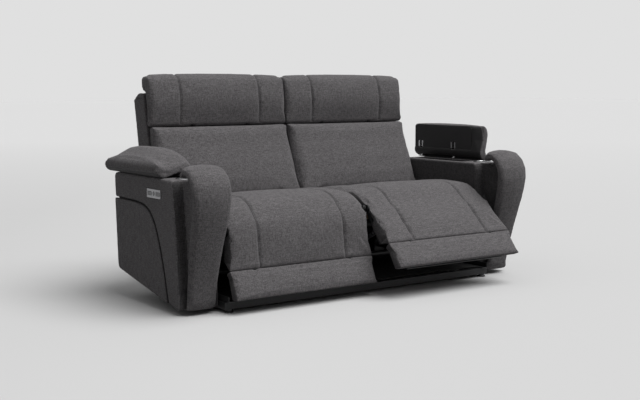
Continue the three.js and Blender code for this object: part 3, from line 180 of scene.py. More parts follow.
class Wire:
    """An output socket on which Python's arithmetic adds Math nodes."""

    def __init__(self, recipe, node, socket=0):
        self.recipe, self.node = recipe, node
        self.socket = node.outputs[socket] if len(node.outputs) else None

    def out(self, name):
        return Wire(self.recipe, self.node, name)

    def maths(self, operation, *values):
        return self.recipe.node("ShaderNodeMath", {"operation": operation}, *values)

    def __add__(self, other):
        return self.maths("ADD", self, other)

    def __sub__(self, other):
        return self.maths("SUBTRACT", self, other)

    def __rsub__(self, other):
        return self.maths("SUBTRACT", other, self)

    def __mul__(self, other):
        return self.maths("MULTIPLY", self, other)

    def __truediv__(self, other):
        return self.maths("DIVIDE", self, other)

    def __lt__(self, other):
        return self.maths("LESS_THAN", self, other)

    def __abs__(self):
        return self.maths("ABSOLUTE", self)

    __radd__ = __add__
    __rmul__ = __mul__

    def sine(self):
        return self.maths("SINE", self)

    def cosine(self):
        return self.maths("COSINE", self)

    def fraction(self):
        return self.maths("FRACT", self)

    def rise(self, low, high, floor=0.0, ceiling=1.0):
        """Runs from floor to ceiling as the value goes from low to high, and stays there."""
        return self.recipe.node("ShaderNodeMapRange", {}, self, low, high, floor, ceiling)


class Recipe:
    """Builds the nodes of one material or of the world."""

    def __init__(self, owner):
        owner.use_nodes = True
        self.tree = owner.node_tree
        self.tree.nodes.clear()

    def node(self, kind, settings, *values, **named):
        made = self.tree.nodes.new(kind)
        for name, value in settings.items():
            setattr(made, name, value)
        for place, value in [*enumerate(values), *named.items()]:
            key = place if isinstance(place, int) else place.replace("_", " ")
            self.feed(made.inputs[key], value)
        return Wire(self, made)

    def feed(self, socket, value):
        if isinstance(value, Wire):
            self.tree.links.new(value.socket, socket)
        elif hasattr(value, "__len__") and not isinstance(value, str):
            opaque = socket.type == "RGBA" and len(value) == 3
            socket.default_value = (*value, 1.0) if opaque else tuple(value)
        else:
            socket.default_value = value

    def blend(self, amount, first, second):
        """Mixes two colours."""
        made = self.node("ShaderNodeMix", {"data_type": "RGBA"})
        for name, value in (("Factor_Float", amount), ("A_Color", first), ("B_Color", second)):
            self.feed(next(s for s in made.node.inputs if s.identifier == name), value)
        places = (place for place, s in enumerate(made.node.outputs) if s.identifier == "Result_Color")
        return Wire(self, made.node, next(places))

    def place(self, scale=(1.0, 1.0, 1.0)):
        """The point on the piece, in metres times scale."""
        at = self.node("ShaderNodeTexCoord", {}).out("Object")
        return self.node("ShaderNodeMapping", {}, Vector=at, Scale=scale)

    def axes(self, coordinates="Object"):
        """The point on the piece, to be taken apart into X, Y and Z."""
        at = self.node("ShaderNodeTexCoord", {}).out(coordinates)
        return self.node("ShaderNodeSeparateXYZ", {}, at)

    def noise(self, scale, detail, roughness, stretch=(1.0, 1.0, 1.0)):
        return self.node("ShaderNodeTexNoise", {}, Vector=self.place(stretch), Scale=scale, Detail=detail,
                         Roughness=roughness)

    def seen(self):
        """1 on camera, glossy and transmission rays, and 0 on those that light the sofa."""
        rays = self.node("ShaderNodeLightPath", {})
        shown = rays.out("Is Camera Ray") + rays.out("Is Glossy Ray") + rays.out("Is Transmission Ray")
        return shown.rise(0.0, 1.0)

    def bump(self, height, distance, strength):
        return self.node("ShaderNodeBump", {}, Height=height, Distance=distance, Strength=strength)

    def surface(self, **sockets):
        shader = self.node("ShaderNodeBsdfPrincipled", {}, **sockets)
        self.node("ShaderNodeOutputMaterial", {}, shader)


def heather(r, shade=1.0):
    """Woven cover: pale and dark yarns over a round weave, with topstitching and painted shade along the seams."""
    c, s = colours(), sizes()
    turn = 2 * math.pi / s.weave_size
    wander = r.noise(140.0, 2.0, 0.6) * 2.2
    at = r.axes()
    x, y, z = (at.out(axis) * turn + wander for axis in "XYZ")
    weave = x.sine() * y.cosine() + y.sine() * z.cosine() + z.sine() * x.cosine()
    flecks = r.noise(300.0, 2.0, 0.7)
    weft = r.noise(150.0, 2.0, 0.6, (0.30, 0.30, 1.9))
    warp = r.noise(150.0, 2.0, 0.6, (1.7, 1.7, 0.28))
    wear = r.noise(6.0, 3.0, 0.55)
    # A shade below 1 makes a darker copy of the cover, which paints shade on faces that lie in shadow
    yarn, dark, pale = (tuple(v * shade for v in tone) for tone in (c.yarn, c.dark_yarn, c.pale_yarn))
    base = r.blend(0.5, r.blend(flecks.rise(0.40, 0.62), dark, pale), yarn)
    for streaks in (weft, warp):
        base = r.blend(streaks.rise(0.54, 0.66) * 0.40, base, pale)
        base = r.blend(streaks.rise(0.46, 0.34) * 0.45, base, dark)
    base = r.blend(weave.rise(-1.6, -0.4, 0.45, 0.0), base, tuple(v * 0.4 for v in yarn))
    base = r.blend(wear.rise(0.3, 0.7) * 0.14, base, tuple(v * 0.72 for v in yarn))
    height = weave * 0.34 + flecks * 0.4 + weft * 0.5 + warp * 0.5
    seam = r.node("ShaderNodeAttribute", {"attribute_name": "seam"}).out("Fac")
    run = r.node("ShaderNodeAttribute", {"attribute_name": "run"}).out("Fac")
    seam_valley_and_shade = 1 - abs(seam).rise(0.0006, 0.0022)
    track = 1 - abs(abs(seam) - s.thread_offset).rise(0.0003, 0.0009)
    dash = (run / s.stitch_length).fraction()
    stitch = track * (1 - abs(dash - 0.5).rise(0.30, 0.40))
    # Painted shade in the valley of a seam and at a joint between covers
    base = r.blend(seam_valley_and_shade * 0.8, base, tuple(v * 0.25 for v in yarn))
    base = r.blend(stitch * 0.85, base, c.thread)
    height = height - seam_valley_and_shade * 2.2 + stitch * 1.2
    r.surface(Base_Color=base, Roughness=flecks.rise(0.3, 0.7, 0.86, 0.98),
              Normal=r.bump(height, 0.0008, 0.75), Sheen_Weight=0.16, Sheen_Roughness=0.45,
              Sheen_Tint=(0.8, 0.79, 0.81), Specular_IOR_Level=0.18)


def hard(r, tone, roughness, metallic=0.0, grain=0.0, fineness=720.0, stretch=(1.0, 1.0, 1.0), spots=0.08,
         coat=0.0):
    """A hard finish with a fine grain, spots of wear and a slightly uneven gloss."""
    tone = getattr(colours(), tone)
    fine = r.noise(fineness, 3.0, 0.6, stretch)
    broad = r.noise(fineness / 72, 3.0, 0.5)
    base = r.blend(broad.rise(0.35, 0.65) * 0.5, tuple(tone), tuple(v * (1 - spots * 3) for v in tone))
    base = r.blend(fine.rise(0.45, 0.75) * spots, base, tuple(min(1.0, v * 2.2 + 0.02) for v in tone))
    rough = fine.rise(0.3, 0.7, max(0.02, roughness - 0.08), min(1.0, roughness + 0.08))
    r.surface(Base_Color=base, Roughness=rough, Metallic=metallic, Coat_Weight=coat,
              Normal=r.bump(fine, 0.0002 + grain * 0.001, 0.25 + grain))


def pine(r):
    """Pine rails with long growth lines."""
    tone = tuple(colours().timber)
    rings = r.node("ShaderNodeTexWave", {"wave_type": "BANDS", "bands_direction": "Z"},
                   Vector=r.place((0.05, 1.0, 1.0)), Scale=38.0, Distortion=3.5, Detail=3.0)
    pores = r.noise(420.0, 2.0, 0.5, (0.06, 1.0, 1.0))
    base = r.blend(rings.rise(0.1, 0.9), tone, tuple(v * 0.62 for v in tone))
    base = r.blend(pores.rise(0.5, 0.7) * 0.4, base, tuple(v * 0.5 for v in tone))
    r.surface(Base_Color=base, Roughness=pores.rise(0.3, 0.7, 0.55, 0.75), Normal=r.bump(pores, 0.0004, 0.4))


# Where the arms of a lid hinge are, from its ends, and how far from the pin its knuckles reach
HINGE_ARM_INSET = 0.020
KNUCKLE_REACH = 0.060


def beside_hinge_arms(along, reach):
    """1 where a place along the hinge is within reach of one of its arms."""
    low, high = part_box("left_lid_hinge")
    return sum((abs(along - arm) < reach) for arm in (low.y + HINGE_ARM_INSET, high.y - HINGE_ARM_INSET))


def hinge_arms(r):
    """Zinc arms on a foot strip that is painted black."""
    c, at, foot = colours(), r.axes(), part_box("left_lid_hinge")[0].z
    arm = at.out("Z").rise(foot + 0.0030, foot + 0.0036) * beside_hinge_arms(at.out("Y"), 0.0140)
    grain = r.noise(700.0, 3.0, 0.6)
    tone = r.blend(grain.rise(0.4, 0.7) * 0.2, tuple(c.zinc), tuple(v * 0.6 for v in c.zinc))
    r.surface(Base_Color=r.blend(arm, tuple(c.lining), tone), Metallic=arm * 0.9,
              Roughness=grain.rise(0.3, 0.7, 0.30, 0.42), Normal=r.bump(grain, 0.0002, 0.2))


def hinged_board(r):
    """The lids' lined board, with the zinc knuckles of its hinges."""
    c, at, hinge = colours(), r.axes(), pivot("left_lid")
    out = abs(at.out("X") - MIDDLE_X) - (MIDDLE_X - hinge.x)
    up = at.out("Z") - hinge.z
    steel = ((out * out + up * up) < KNUCKLE_REACH ** 2) * beside_hinge_arms(at.out("Y"), 0.0180)
    grain = r.noise(900.0, 3.0, 0.6)
    board = r.blend(grain.rise(0.45, 0.75) * 0.1, tuple(c.lining), (0.06, 0.06, 0.06))
    r.surface(Base_Color=r.blend(steel, board, tuple(c.zinc)), Metallic=steel * 0.85,
              Roughness=0.8 - steel * 0.42, Normal=r.bump(grain, 0.0004, 0.4))


def floor_paint(r):
    """Paler far behind the sofa, a little darker to its left as a painted shadow of the sofa, and darker where it
    lights the sofa.
    """
    s, at = bpy.context.scene.sofa_studio, r.axes()
    afar = (at.out("X") * AHEAD.x + at.out("Y") * AHEAD.y).rise(3.0, 13.0)
    # Painted shadow of the sofa on the floor to its left
    left = (at.out("X") * AHEAD.y - at.out("Y") * AHEAD.x).rise(-0.4, -2.2) * 0.09
    near = r.blend(left, tuple(s.floor), (0.0, 0.0, 0.0))
    shown = r.blend(afar, near, tuple(s.floor_afar))
    r.surface(Base_Color=r.blend(r.seen(), tuple(s.floor_bounce), shown), Roughness=0.9,
              Specular_IOR_Level=0.1)


LOOKS = {
    "heather_cover": (heather, {}),
    # A darker copy of the cover, for painted shade
    "heather_in_recess": (heather, {"shade": 0.5}),
    "timber": (pine, {}),
    "hinge_steel": (hinge_arms, {}),
    "lid_board_lining": (hinged_board, {}),
    "studio_floor": (floor_paint, {}),
    "black_lacquer": (hard, dict(tone="lacquer", roughness=0.55, grain=0.1, spots=0.04, coat=0.1)),
    "frame_paint": (hard, dict(tone="frame_paint", roughness=0.62, grain=0.1, spots=0.03)),
    "zinc_plate": (hard, dict(tone="zinc", roughness=0.36, metallic=0.9, grain=0.05, fineness=480.0,
                              spots=0.10)),
    "chrome": (hard, dict(tone="chrome", roughness=0.16, metallic=1.0, fineness=480.0, spots=0.03)),
    "moulded_plastic": (hard, dict(tone="plastic", roughness=0.46, grain=0.15, fineness=1320.0, spots=0.05)),
    "satin_keys": (hard, dict(tone="keys", roughness=0.38, metallic=0.3, grain=0.05, fineness=1080.0)),
    "brushed_face": (hard, dict(tone="face_plate", roughness=0.34, metallic=0.85, grain=0.05,
                                fineness=840.0, stretch=(1.0, 0.05, 1.0), spots=0.12)),
    "dust_cloth": (hard, dict(tone="dust_cloth", roughness=0.95, grain=0.5, fineness=1080.0, spots=0.05)),
    "lining_board": (hard, dict(tone="lining", roughness=0.78, grain=0.4, fineness=1080.0)),
}


def material(name):
    """The material of a name, made when it is first asked for."""
    found = bpy.data.materials.get(name)
    if not found:
        found = bpy.data.materials.new(name)
        fill, settings = LOOKS[name]
        fill(Recipe(found), **settings)
    return found


# Meshes


def finished(name, work, *looks, smooth=True):
    """A new object from a bmesh, with its place in its mesh."""
    bmesh.ops.recalc_face_normals(work, faces=work.faces)
    mesh = bpy.data.meshes.new(name)
    work.to_mesh(mesh)
    work.free()
    mesh.shade_smooth() if smooth else mesh.shade_flat()
    for look in looks:
        mesh.materials.append(material(look))
    obj = bpy.data.objects.new(name, mesh)
    bpy.context.scene.collection.objects.link(obj)
    return obj


def merged(node):
    """A bmesh of a solid of the frame, its corners joined."""
    work = bmesh.new()
    work.from_mesh(NODES[node].data)
    bmesh.ops.remove_doubles(work, verts=work.verts, dist=0.00002)
    return work


def add_solid(work, node):
    """Adds a solid of the frame to another bmesh."""
    solid, spare = merged(node), bpy.data.meshes.new(node)
    solid.to_mesh(spare)
    solid.free()
    work.from_mesh(spare)
    bpy.data.meshes.remove(spare)


def copied(node, name, *looks):
    return finished(name, merged(node), *looks)


def vertices_of(items):
    return [item for item in items if isinstance(item, bmesh.types.BMVert)]


def prism(work, corners, vec):
    """Adds a prism: a face through places, drawn out by a vector."""
    face = work.faces.new([work.verts.new(corner) for corner in corners])
    grown = bmesh.ops.extrude_face_region(work, geom=[face])["geom"]
    bmesh.ops.translate(work, verts=vertices_of(grown), vec=vec)


def slab(work, about, outline, x):
    """Adds a prism: an outline of (y, z) places about a point, over a span of x."""
    prism(work, [(x[0], about.y + y, about.z + z) for y, z in outline], (x[1] - x[0], 0, 0))


def cut_off(work, point, normal):
    """Cuts away what lies beyond a plane, and closes the cut."""
    cut = bmesh.ops.bisect_plane(work, geom=[*work.verts, *work.edges, *work.faces], plane_co=point,
                                 plane_no=normal.normalized(), clear_outer=True)
    edges = [item for item in cut["geom_cut"] if isinstance(item, bmesh.types.BMEdge)]
    bmesh.ops.holes_fill(work, edges=edges)


def applied(obj):
    """Replaces an object's mesh by what its modifiers make of it."""
    graph = bpy.context.evaluated_depsgraph_get()
    mesh = bpy.data.meshes.new_from_object(obj.evaluated_get(graph))
    obj.modifiers.clear()
    old, obj.data = obj.data, mesh
    bpy.data.meshes.remove(old)


def remeshed(obj, size, smoothing):
    step = obj.modifiers.new("even mesh", "REMESH")
    step.mode, step.voxel_size, step.use_smooth_shade = "VOXEL", size, True
    soften = obj.modifiers.new("soften", "SMOOTH")
    soften.factor, soften.iterations = 0.5, smoothing
    applied(obj)
    obj.data.shade_smooth()


def points(obj):
    return [vertex.co.copy() for vertex in obj.data.vertices]


def moved(obj, places):
    obj.data.vertices.foreach_set("co", [number for place in places for number in place])
    obj.data.update()


def normals(obj):
    return [entry.vector.copy() for entry in obj.data.vertex_normals]


def inset(obj, depth, hold=None):
    """Draws a pad in, but not where hold says of a place that it stays."""
    moved(obj, [place - normal * depth * (1 - (hold(place) if hold else 0.0))
                for place, normal in zip(points(obj), normals(obj))])


def kept_within(obj, low_x, high_x, rear=math.inf):
    """Keeps a cover between two places across the sofa, and in front of a third."""
    places = points(obj)
    for place in places:
        place.x = min(max(place.x, low_x), high_x)
        place.y = min(place.y, rear)
    moved(obj, places)


def eased(share):
    """A share from 0 to 1 that starts and ends slowly."""
    return share * share * (3 - 2 * share)


def drawn_out(obj, end, level, reach):
    """Stretches the lowest (end is min) or highest part (max) of a pad, so that it ends at a level."""
    places = points(obj)
    last = end(place.z for place in places)
    for place in places:
        place.z += (level - last) * eased(max(0.0, 1 - abs(place.z - last) / reach))
    moved(obj, places)


def near_level(level, reach, way=1):
    """How near a place is to a level: 1 at it and past it, 0 at reach above it, or below it if way is -1."""
    return lambda place: max(0.0, min(1.0, 1 - (place.z - level) * way / reach))


class Seam:
    """A sewn line where a plane across one axis cuts a cover, on the faces that look one way.

    axis is 0, 1 or 2, at is where it lies, and keep says of a normal if the seam is there."""

    def __init__(self, axis, at, keep):
        self.axis, self.at, self.keep = axis, at, keep


def nearest_seam(seams, place, normal):
    """The signed distance to the nearest seam, and that seam."""
    best, found = 1.0, None
    for seam in seams:
        distance = place[seam.axis] - seam.at
        if abs(distance) < abs(best) and seam.keep(normal):
            best, found = distance, seam
    return best, found


def sewn(obj, seams, depth=None, width=None):
    """Draws the cover in along its seams, and notes for the material how far each point is from one."""
    depth = sizes().seam_depth if depth is None else depth
    width = sizes().seam_width if width is None else width
    at, facing = points(obj), normals(obj)
    offsets, runs = [], []
    for index, (place, normal) in enumerate(zip(at, facing)):
        distance, seam = nearest_seam(seams, place, normal)
        offsets.append(max(-1.0, min(1.0, distance)))
        runs.append(0.0)
        if seam is not None:
            at[index] = place - normal * depth * math.exp(-((distance / width) ** 2))
            others = [axis for axis in range(3) if axis != seam.axis]
            slanted = abs(normal[others[0]]) > abs(normal[others[1]])
            runs[-1] = place[others[1] if slanted else others[0]]
    moved(obj, at)
    for name, values in (("seam", offsets), ("run", runs)):
        layer = obj.data.attributes.get(name) or obj.data.attributes.new(name, "FLOAT", "POINT")
        layer.data.foreach_set("value", values)


def shade_painted_on_sides(obj):
    """Paints shade on the sides of a pad, which look at its neighbours, with the darker copy of the cover."""
    obj.data.materials.append(material("heather_in_recess"))
    for face in obj.data.polygons:
        if abs(face.normal.x) > 0.75:
            face.material_index = len(obj.data.materials) - 1


def round_corners(obj, low, high, radius):
    """Rounds the upper corners of a pad, as seen from the front."""
    middle, half = across(low, high)
    places = points(obj)
    for place in places:
        out, up = abs(place.x - middle) - (half - radius), place.z - (high.z - radius)
        if out > 0 and up > 0:
            share = max(out, up) / math.hypot(out, up)
            place.x = middle + math.copysign(half - radius + out * share, place.x - middle)
            place.z = high.z - radius + up * share
    moved(obj, places)


# A joint is noted as a nearer seam than it is, so that the material's valley, with its painted shade, is wider
# there
JOINT_SHARE = 0.3


def parted(obj, node, reach=0.012, depth=0.004):
    """Draws a sewn cover in where it meets a solid, and paints the shade of a tight joint between covers there."""
    solid = merged(node)
    tree = BVHTree.FromBMesh(solid)
    solid.free()
    at, facing = points(obj), normals(obj)
    seam, run = (obj.data.attributes[name].data for name in ("seam", "run"))
    for index, (place, normal) in enumerate(zip(at, facing)):
        near = tree.find_nearest(place, reach)[3]
        if near is not None:
            at[index] = place - normal * depth * (1 - near / reach) ** 2
            seam[index].value, run[index].value = near * JOINT_SHARE, place.z
    moved(obj, at)


# How many frames the cloth runs for
FILL_FRAMES = 20


def filled(obj, seams, cap, hold=None, stiffness=12.0):
    """Inflates a cover with Blender's cloth; it is held at its seams and may move by cap at most.

    hold gives 1 at a place that stays still, and less around it."""
    start, facing = points(obj), normals(obj)
    held = obj.vertex_groups.new(name="held")
    for index, (place, normal) in enumerate(zip(start, facing)):
        distance, seam = nearest_seam(seams, place, normal)
        if seam is not None and abs(distance) < sizes().cover_mesh * 0.6 or hold and hold(place) > 0.5:
            held.add([index], 1.0, "REPLACE")
    cloth = obj.modifiers.new("filling", "CLOTH")
    feel = cloth.settings
    feel.quality, feel.mass, feel.air_damping = 4, 0.3, 2.0
    feel.tension_stiffness = feel.compression_stiffness = stiffness
    feel.shear_stiffness, feel.bending_stiffness = stiffness * 0.6, 0.9
    feel.use_pressure = True
    feel.uniform_pressure_force = sizes().fill_pressure
    feel.effector_weights.gravity = 0.0
    feel.vertex_group_mass = "held"
    cloth.collision_settings.use_collision = False
    cloth.point_cache.frame_start, cloth.point_cache.frame_end = 1, FILL_FRAMES
    for number in range(1, FILL_FRAMES + 1):
        bpy.context.scene.frame_set(number)
    applied(obj)
    bpy.context.scene.frame_set(1)
    limited = []
    for before, after in zip(start, points(obj)):
        step = (after - before) * (1 - (hold(before) if hold else 0.0))
        limited.append(before + step * (min(1.0, cap / step.length) if step.length > 0 else 1.0))
    moved(obj, limited)
    obj.vertex_groups.clear()


def subdivided(obj):
    step = obj.modifiers.new("finer mesh", "SUBSURF")
    step.levels = step.render_levels = 1
    applied(obj)
    obj.data.shade_smooth()


def turned(obj, about, axis, angle):
    """Turns a mesh about an axis through a point, in degrees."""
    turn = (Matrix.Translation(about) @ Matrix.Rotation(math.radians(angle), 4, Vector(axis))
            @ Matrix.Translation(-about))
    obj.data.transform(turn)


def twin(obj, name):
    """The same piece mirrored to the right half of the sofa, still closed as on the left."""
    mesh = obj.data.copy()
    mesh.name = name
    mesh.transform(Matrix.Translation((MIDDLE_X, 0, 0)) @ Matrix.Scale(-1, 4, (1, 0, 0))
                   @ Matrix.Translation((-MIDDLE_X, 0, 0)))
    mesh.flip_normals()
    copy = bpy.data.objects.new(name, mesh)
    bpy.context.scene.collection.objects.link(copy)
    return copy


def open_foot(obj):
    closed = pivot("left_foot_lip")
    closed.x = pivot("right_foot_lip").x
    turned(obj, closed, (1, 0, 0), opening("foot_lip"))
    turned(obj, pivot("right_footrest"), (-1, 0, 0), opening("footrest"))


def open_lid(obj):
    turned(obj, pivot("right_lid"), (0, 1, 0), opening("lid"))


def both_sides(left, name, body, replaced, pose=None):
    """Gives the left piece and its twin on the right their bodies, and hides the solids that they replace."""
    right = twin(left, "right_" + name)
    if pose:
        pose(right)
    for side, piece in (("left", left), ("right", right)):
        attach(piece, body.format(side=side))
        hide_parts(f"{side}_{replaced}")


def rod(work, radius, x, centre, segments, bevel=0.0):
    """A round bar along x over a span of x, about a place seen from the side."""
    turn = Vector((0, 0, 1)).rotation_difference(Vector((1, 0, 0))).to_matrix().to_4x4()
    place = Matrix.Translation(((x[0] + x[1]) / 2, *centre)) @ turn
    made = bmesh.ops.create_cone(work, cap_ends=True, segments=segments, radius1=radius, radius2=radius,
                                 depth=x[1] - x[0], matrix=place)["verts"]
    if bevel:
        edges = dict.fromkeys(edge for vertex in made for edge in vertex.link_edges)
        rims = [edge for edge in edges if any(len(face.verts) > 4 for face in edge.link_faces)]
        bmesh.ops.bevel(work, geom=rims, affect="EDGES", offset=bevel, segments=2, profile=0.5, material=-1)
    return made


def strap(work, start, end, radius, x):
    """A flat bar with round ends, between two places seen from the side, over a span of x."""
    corners = [corner for place in (start, end) for corner in rod(work, radius, x, place, 24)]
    hull = bmesh.ops.convex_hull(work, input=corners)
    loose = dict.fromkeys(vertices_of(hull["geom_interior"] + hull["geom_unused"]))
    bmesh.ops.delete(work, geom=list(loose), context="VERTS")


# Pieces


# How far a seat cover stays within the sides of its solids, and a back shell within its seat's
COVER_GAP = 0.0006
SHELL_GAP = 0.0004

# Where the seams of a seat cover and a headrest are, as a share of half the width
SEAT_SEAMS = 0.6
HEADREST_SEAMS = 0.58

# The hinge of a seat cover, as (y, z) from the footrest's pivot: the lower front corner of the seat goes,
# so that the cover can fold there, padding carries the cover across, and the cover bends over a span
SEAT_CORNER, CORNER_FACES = Vector((0, 0.036, -0.014)), Vector((0, -0.029, -0.079))
BRIDGE = (
    (0.040, 0.046), (0.012, 0.0285), (-0.012, 0.007), (-0.028, -0.014), (-0.037, -0.042), (-0.022, -0.060),
    (0.009, -0.040), (0.018, -0.008), (0.060, 0.000),
)
BRIDGE_GAP = 0.003
BEND_START, BEND_END = Vector((0, 0.125, 0.075)), Vector((0, -0.085, -0.135))

# Padding that closes the front of the slots for the foot lip's lugs, as (y, z) from the lip's pivot
CALF_PLUG = (
    (-0.009, 0.003), (-0.0092, 0.021), (-0.005, 0.045), (0.002, 0.045), (-0.001, 0.021), (-0.001, 0.0035),
)
LIP_PLUG = ((-0.0085, -0.004), (-0.018, -0.022), (-0.006, -0.024), (-0.001, -0.0025))
LUGS = (0.244, 0.262)

# The sewn joint of the foot lip: half its opening, how near it the covers stay still, and the reach of both
LIP_GAP = 0.0004
STILL_FROM, STILL_REACH, JOINT_REACH = 0.002, 0.030, 0.022

# How far the top of a headrest leans back, and from which share of its height
LEAN_BACK, LEAN_FROM = 0.030, 0.25

# The plane that parts a back shell from its steel ears, from the back's pivot
SHELL_FRONT, SHELL_FRONT_FACES = Vector((0, 0.0985, 0.120)), Vector((0, -0.471, 0.088))

# The seams of a back shell: from its seat's sides, from its top, and below the back's pivot
SHELL_SEAM_IN, SHELL_SEAM_DOWN, SHELL_SEAM_LOW = 0.022, 0.030, 0.052

# The ears of a back and the lugs of its headrest, each a bar with a pin: the joint it turns about, the
# distance from the middle of the seat, the bar's radius and its rear end from the pivot, the pin's radius
# and its span outwards from the bar's middle, and the segments and the bevel of the pin
EARS = (
    ("left_back", 0.3662, 0.015, (0.110, 0.050), 0.010, (0.0, 0.0082), 32, 0.0008),
    ("left_headrest", 0.156, 0.010, (0.050, 0.003), 0.005, (0.002, -0.0078), 24, 0.0),
)
BAR_HALF = 0.002

# How far the pads that are firmly filled are drawn in before, and by how much the lid pads then grow
FIRM_INSET = 0.003
LID_GROWTH, LID_FLOOR_DROP = 0.0024, 0.0026

# Padding over the hinge arms of a lid, and the lid pad's round outer edge, which turns just above the deck:
# its radius about the hinge, where it may lie, and the degrees at which it starts and until it is whole
HINGE_PADDING, HINGE_PADDING_HALF = 0.0398, 0.018
RIM_RADIUS, RIM_NEAR, RIM_FAR, RIM_INNER = 0.0426, 0.034, 0.060, -0.006
RIM_START, RIM_FULL_OVER = -55, 40


def facing_out(normal):
    return normal.y < 0.35 and normal.z > -0.55


def facing_back(normal):
    return normal.y > -0.2


def across(low, high):
    """The middle and half the width of a box across the sofa."""
    return (low.x + high.x) / 2, (high.x - low.x) / 2


def lug_spans(middle):
    return [sorted(middle + way * edge for edge in LUGS) for way in (-1, 1)]


def bent(place, about, angle):
    """Where a place of a straight cover comes to lie when the cover is bent across its hinge."""
    line = BEND_END - BEND_START
    share = max(0.0, min(1.0, (place - about - BEND_START).dot(line) / line.length_squared))
    turn = Matrix.Rotation(math.radians(-angle * eased(share)), 3, "X")
    return about + turn @ (place - about)


class SOFA_OT_seat_covers(bpy.types.Operator):
    """Seat covers: one cushion each, from the back over the roll and down the front of the footrest"""

    bl_idname = "sofa.seat_covers"
    bl_label = "Seat covers"

    def execute(self, context):
        low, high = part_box("left_seat_cushion")
        at, lip_at = pivot("left_footrest"), pivot("left_foot_lip")
        middle, half = across(low, high)
        work = merged("left_seat_cushion")
        cut_off(work, at + SEAT_CORNER, CORNER_FACES)
        add_solid(work, "left_calf_pad")
        slab(work, at, BRIDGE, (low.x + BRIDGE_GAP, high.x - BRIDGE_GAP))
        for x in lug_spans(middle):
            slab(work, lip_at, CALF_PLUG, x)
        piece = finished("left_seat_cover", work, "heather_cover")
        remeshed(piece, sizes().cover_mesh, smoothing=4)
        joint = near_level(lip_at.z + STILL_FROM, STILL_REACH)
        inset(piece, sizes().start_inset, joint)
        seams = [Seam(0, middle + way * half * SEAT_SEAMS, facing_out) for way in (-1, 1)]
        filled(piece, seams, cap=0.008, hold=joint)
        kept_within(piece, low.x + COVER_GAP, high.x - COVER_GAP, high.y + 0.001)
        subdivided(piece)
        drawn_out(piece, min, lip_at.z + LIP_GAP, JOINT_REACH)
        sewn(piece, seams)
        shade_painted_on_sides(piece)

        right = twin(piece, "right_seat_cover")
        hinge_at, angle = pivot("right_footrest"), opening("footrest")
        moved(right, [bent(place, hinge_at, angle) for place in points(right)])
        turned_end = Matrix.Rotation(math.radians(-angle), 3, "X") @ BEND_END
        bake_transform(piece)
        hinge_at + BEND_START
        hinge_at + turned_end
        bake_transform(right)
        for name, obj in (("left", piece), ("right", right)):
            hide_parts(f"{name}_seat_cushion", f"{name}_calf_pad")
        return {"FINISHED"}


def pad(node, name, cap, seam_shares=(), plugs=(), hold=None):
    """A cushion made from the left half's solid: inset, filled, made finer and sewn."""
    s = sizes()
    low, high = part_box("left_" + node)
    middle, half = across(low, high)
    work = merged("left_" + node)
    for about, outline, x in plugs:
        slab(work, about, outline, x)
    piece = finished("left_" + name, work, "heather_cover")
    remeshed(piece, s.cover_mesh, smoothing=3)
    inset(piece, s.start_inset * 0.7, hold)
    seams = [Seam(0, middle + way * half * share, facing_out) for share in seam_shares for way in (-1, 1)]
    filled(piece, seams, cap, hold)
    kept_within(piece, low.x + COVER_GAP, high.x - COVER_GAP)
    subdivided(piece)
    sewn(piece, seams)
    return piece


class SOFA_OT_foot_pads(bpy.types.Operator):
    """Foot pads: the lower lip of each footrest, below its sewn joint"""

    bl_idname = "sofa.foot_pads"
    bl_label = "Foot pads"

    def execute(self, context):
        at = pivot("left_foot_lip")
        plugs = [(at, LIP_PLUG, x) for x in lug_spans(across(*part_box("left_foot_pad"))[0])]
        joint = near_level(at.z - STILL_FROM, STILL_REACH, -1)
        piece = pad("foot_pad", "foot_lip_pad", cap=0.005, plugs=plugs, hold=joint)
        drawn_out(piece, max, at.z - LIP_GAP, JOINT_REACH)
        shade_painted_on_sides(piece)
        both_sides(piece, "foot_lip_pad", "{side}_foot", "foot_pad", pose=open_foot)
        return {"FINISHED"}


class SOFA_OT_back_cushions(bpy.types.Operator):
    """Back cushions: plain crowned pads between the seat and the headrest"""

    bl_idname = "sofa.back_cushions"
    bl_label = "Back cushions"

    def execute(self, context):
        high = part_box("left_back_cushion")[1]
        piece = pad("back_cushion", "back_pad", cap=0.006)
        drawn_out(piece, max, high.z + 0.004, reach=0.080)
        both_sides(piece, "back_pad", "{side}_back", "back_cushion")
        return {"FINISHED"}


class SOFA_OT_headrests(bpy.types.Operator):
    """Headrests: three sewn channels each"""

    bl_idname = "sofa.headrests"
    bl_label = "Headrests"

    def execute(self, context):
        low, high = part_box("left_headrest_cushion")
        piece = pad("headrest_cushion", "headrest_pad", cap=0.007, seam_shares=(HEADREST_SEAMS,),
                    hold=near_level(low.z, reach=0.035))
        drawn_out(piece, min, low.z - 0.003, reach=0.060)
        round_corners(piece, low, high, radius=0.034)
        places = points(piece)
        for place in places:
            up = max(0.0, (place.z - low.z) / (high.z - low.z) - LEAN_FROM) / (1 - LEAN_FROM)
            front = max(0.0, min(1.0, (high.y - place.y) / (high.y - low.y)))
            place.y += LEAN_BACK * up * up * front
        moved(piece, places)
        both_sides(piece, "headrest_pad", "{side}_headrest", "headrest_cushion")
        return {"FINISHED"}


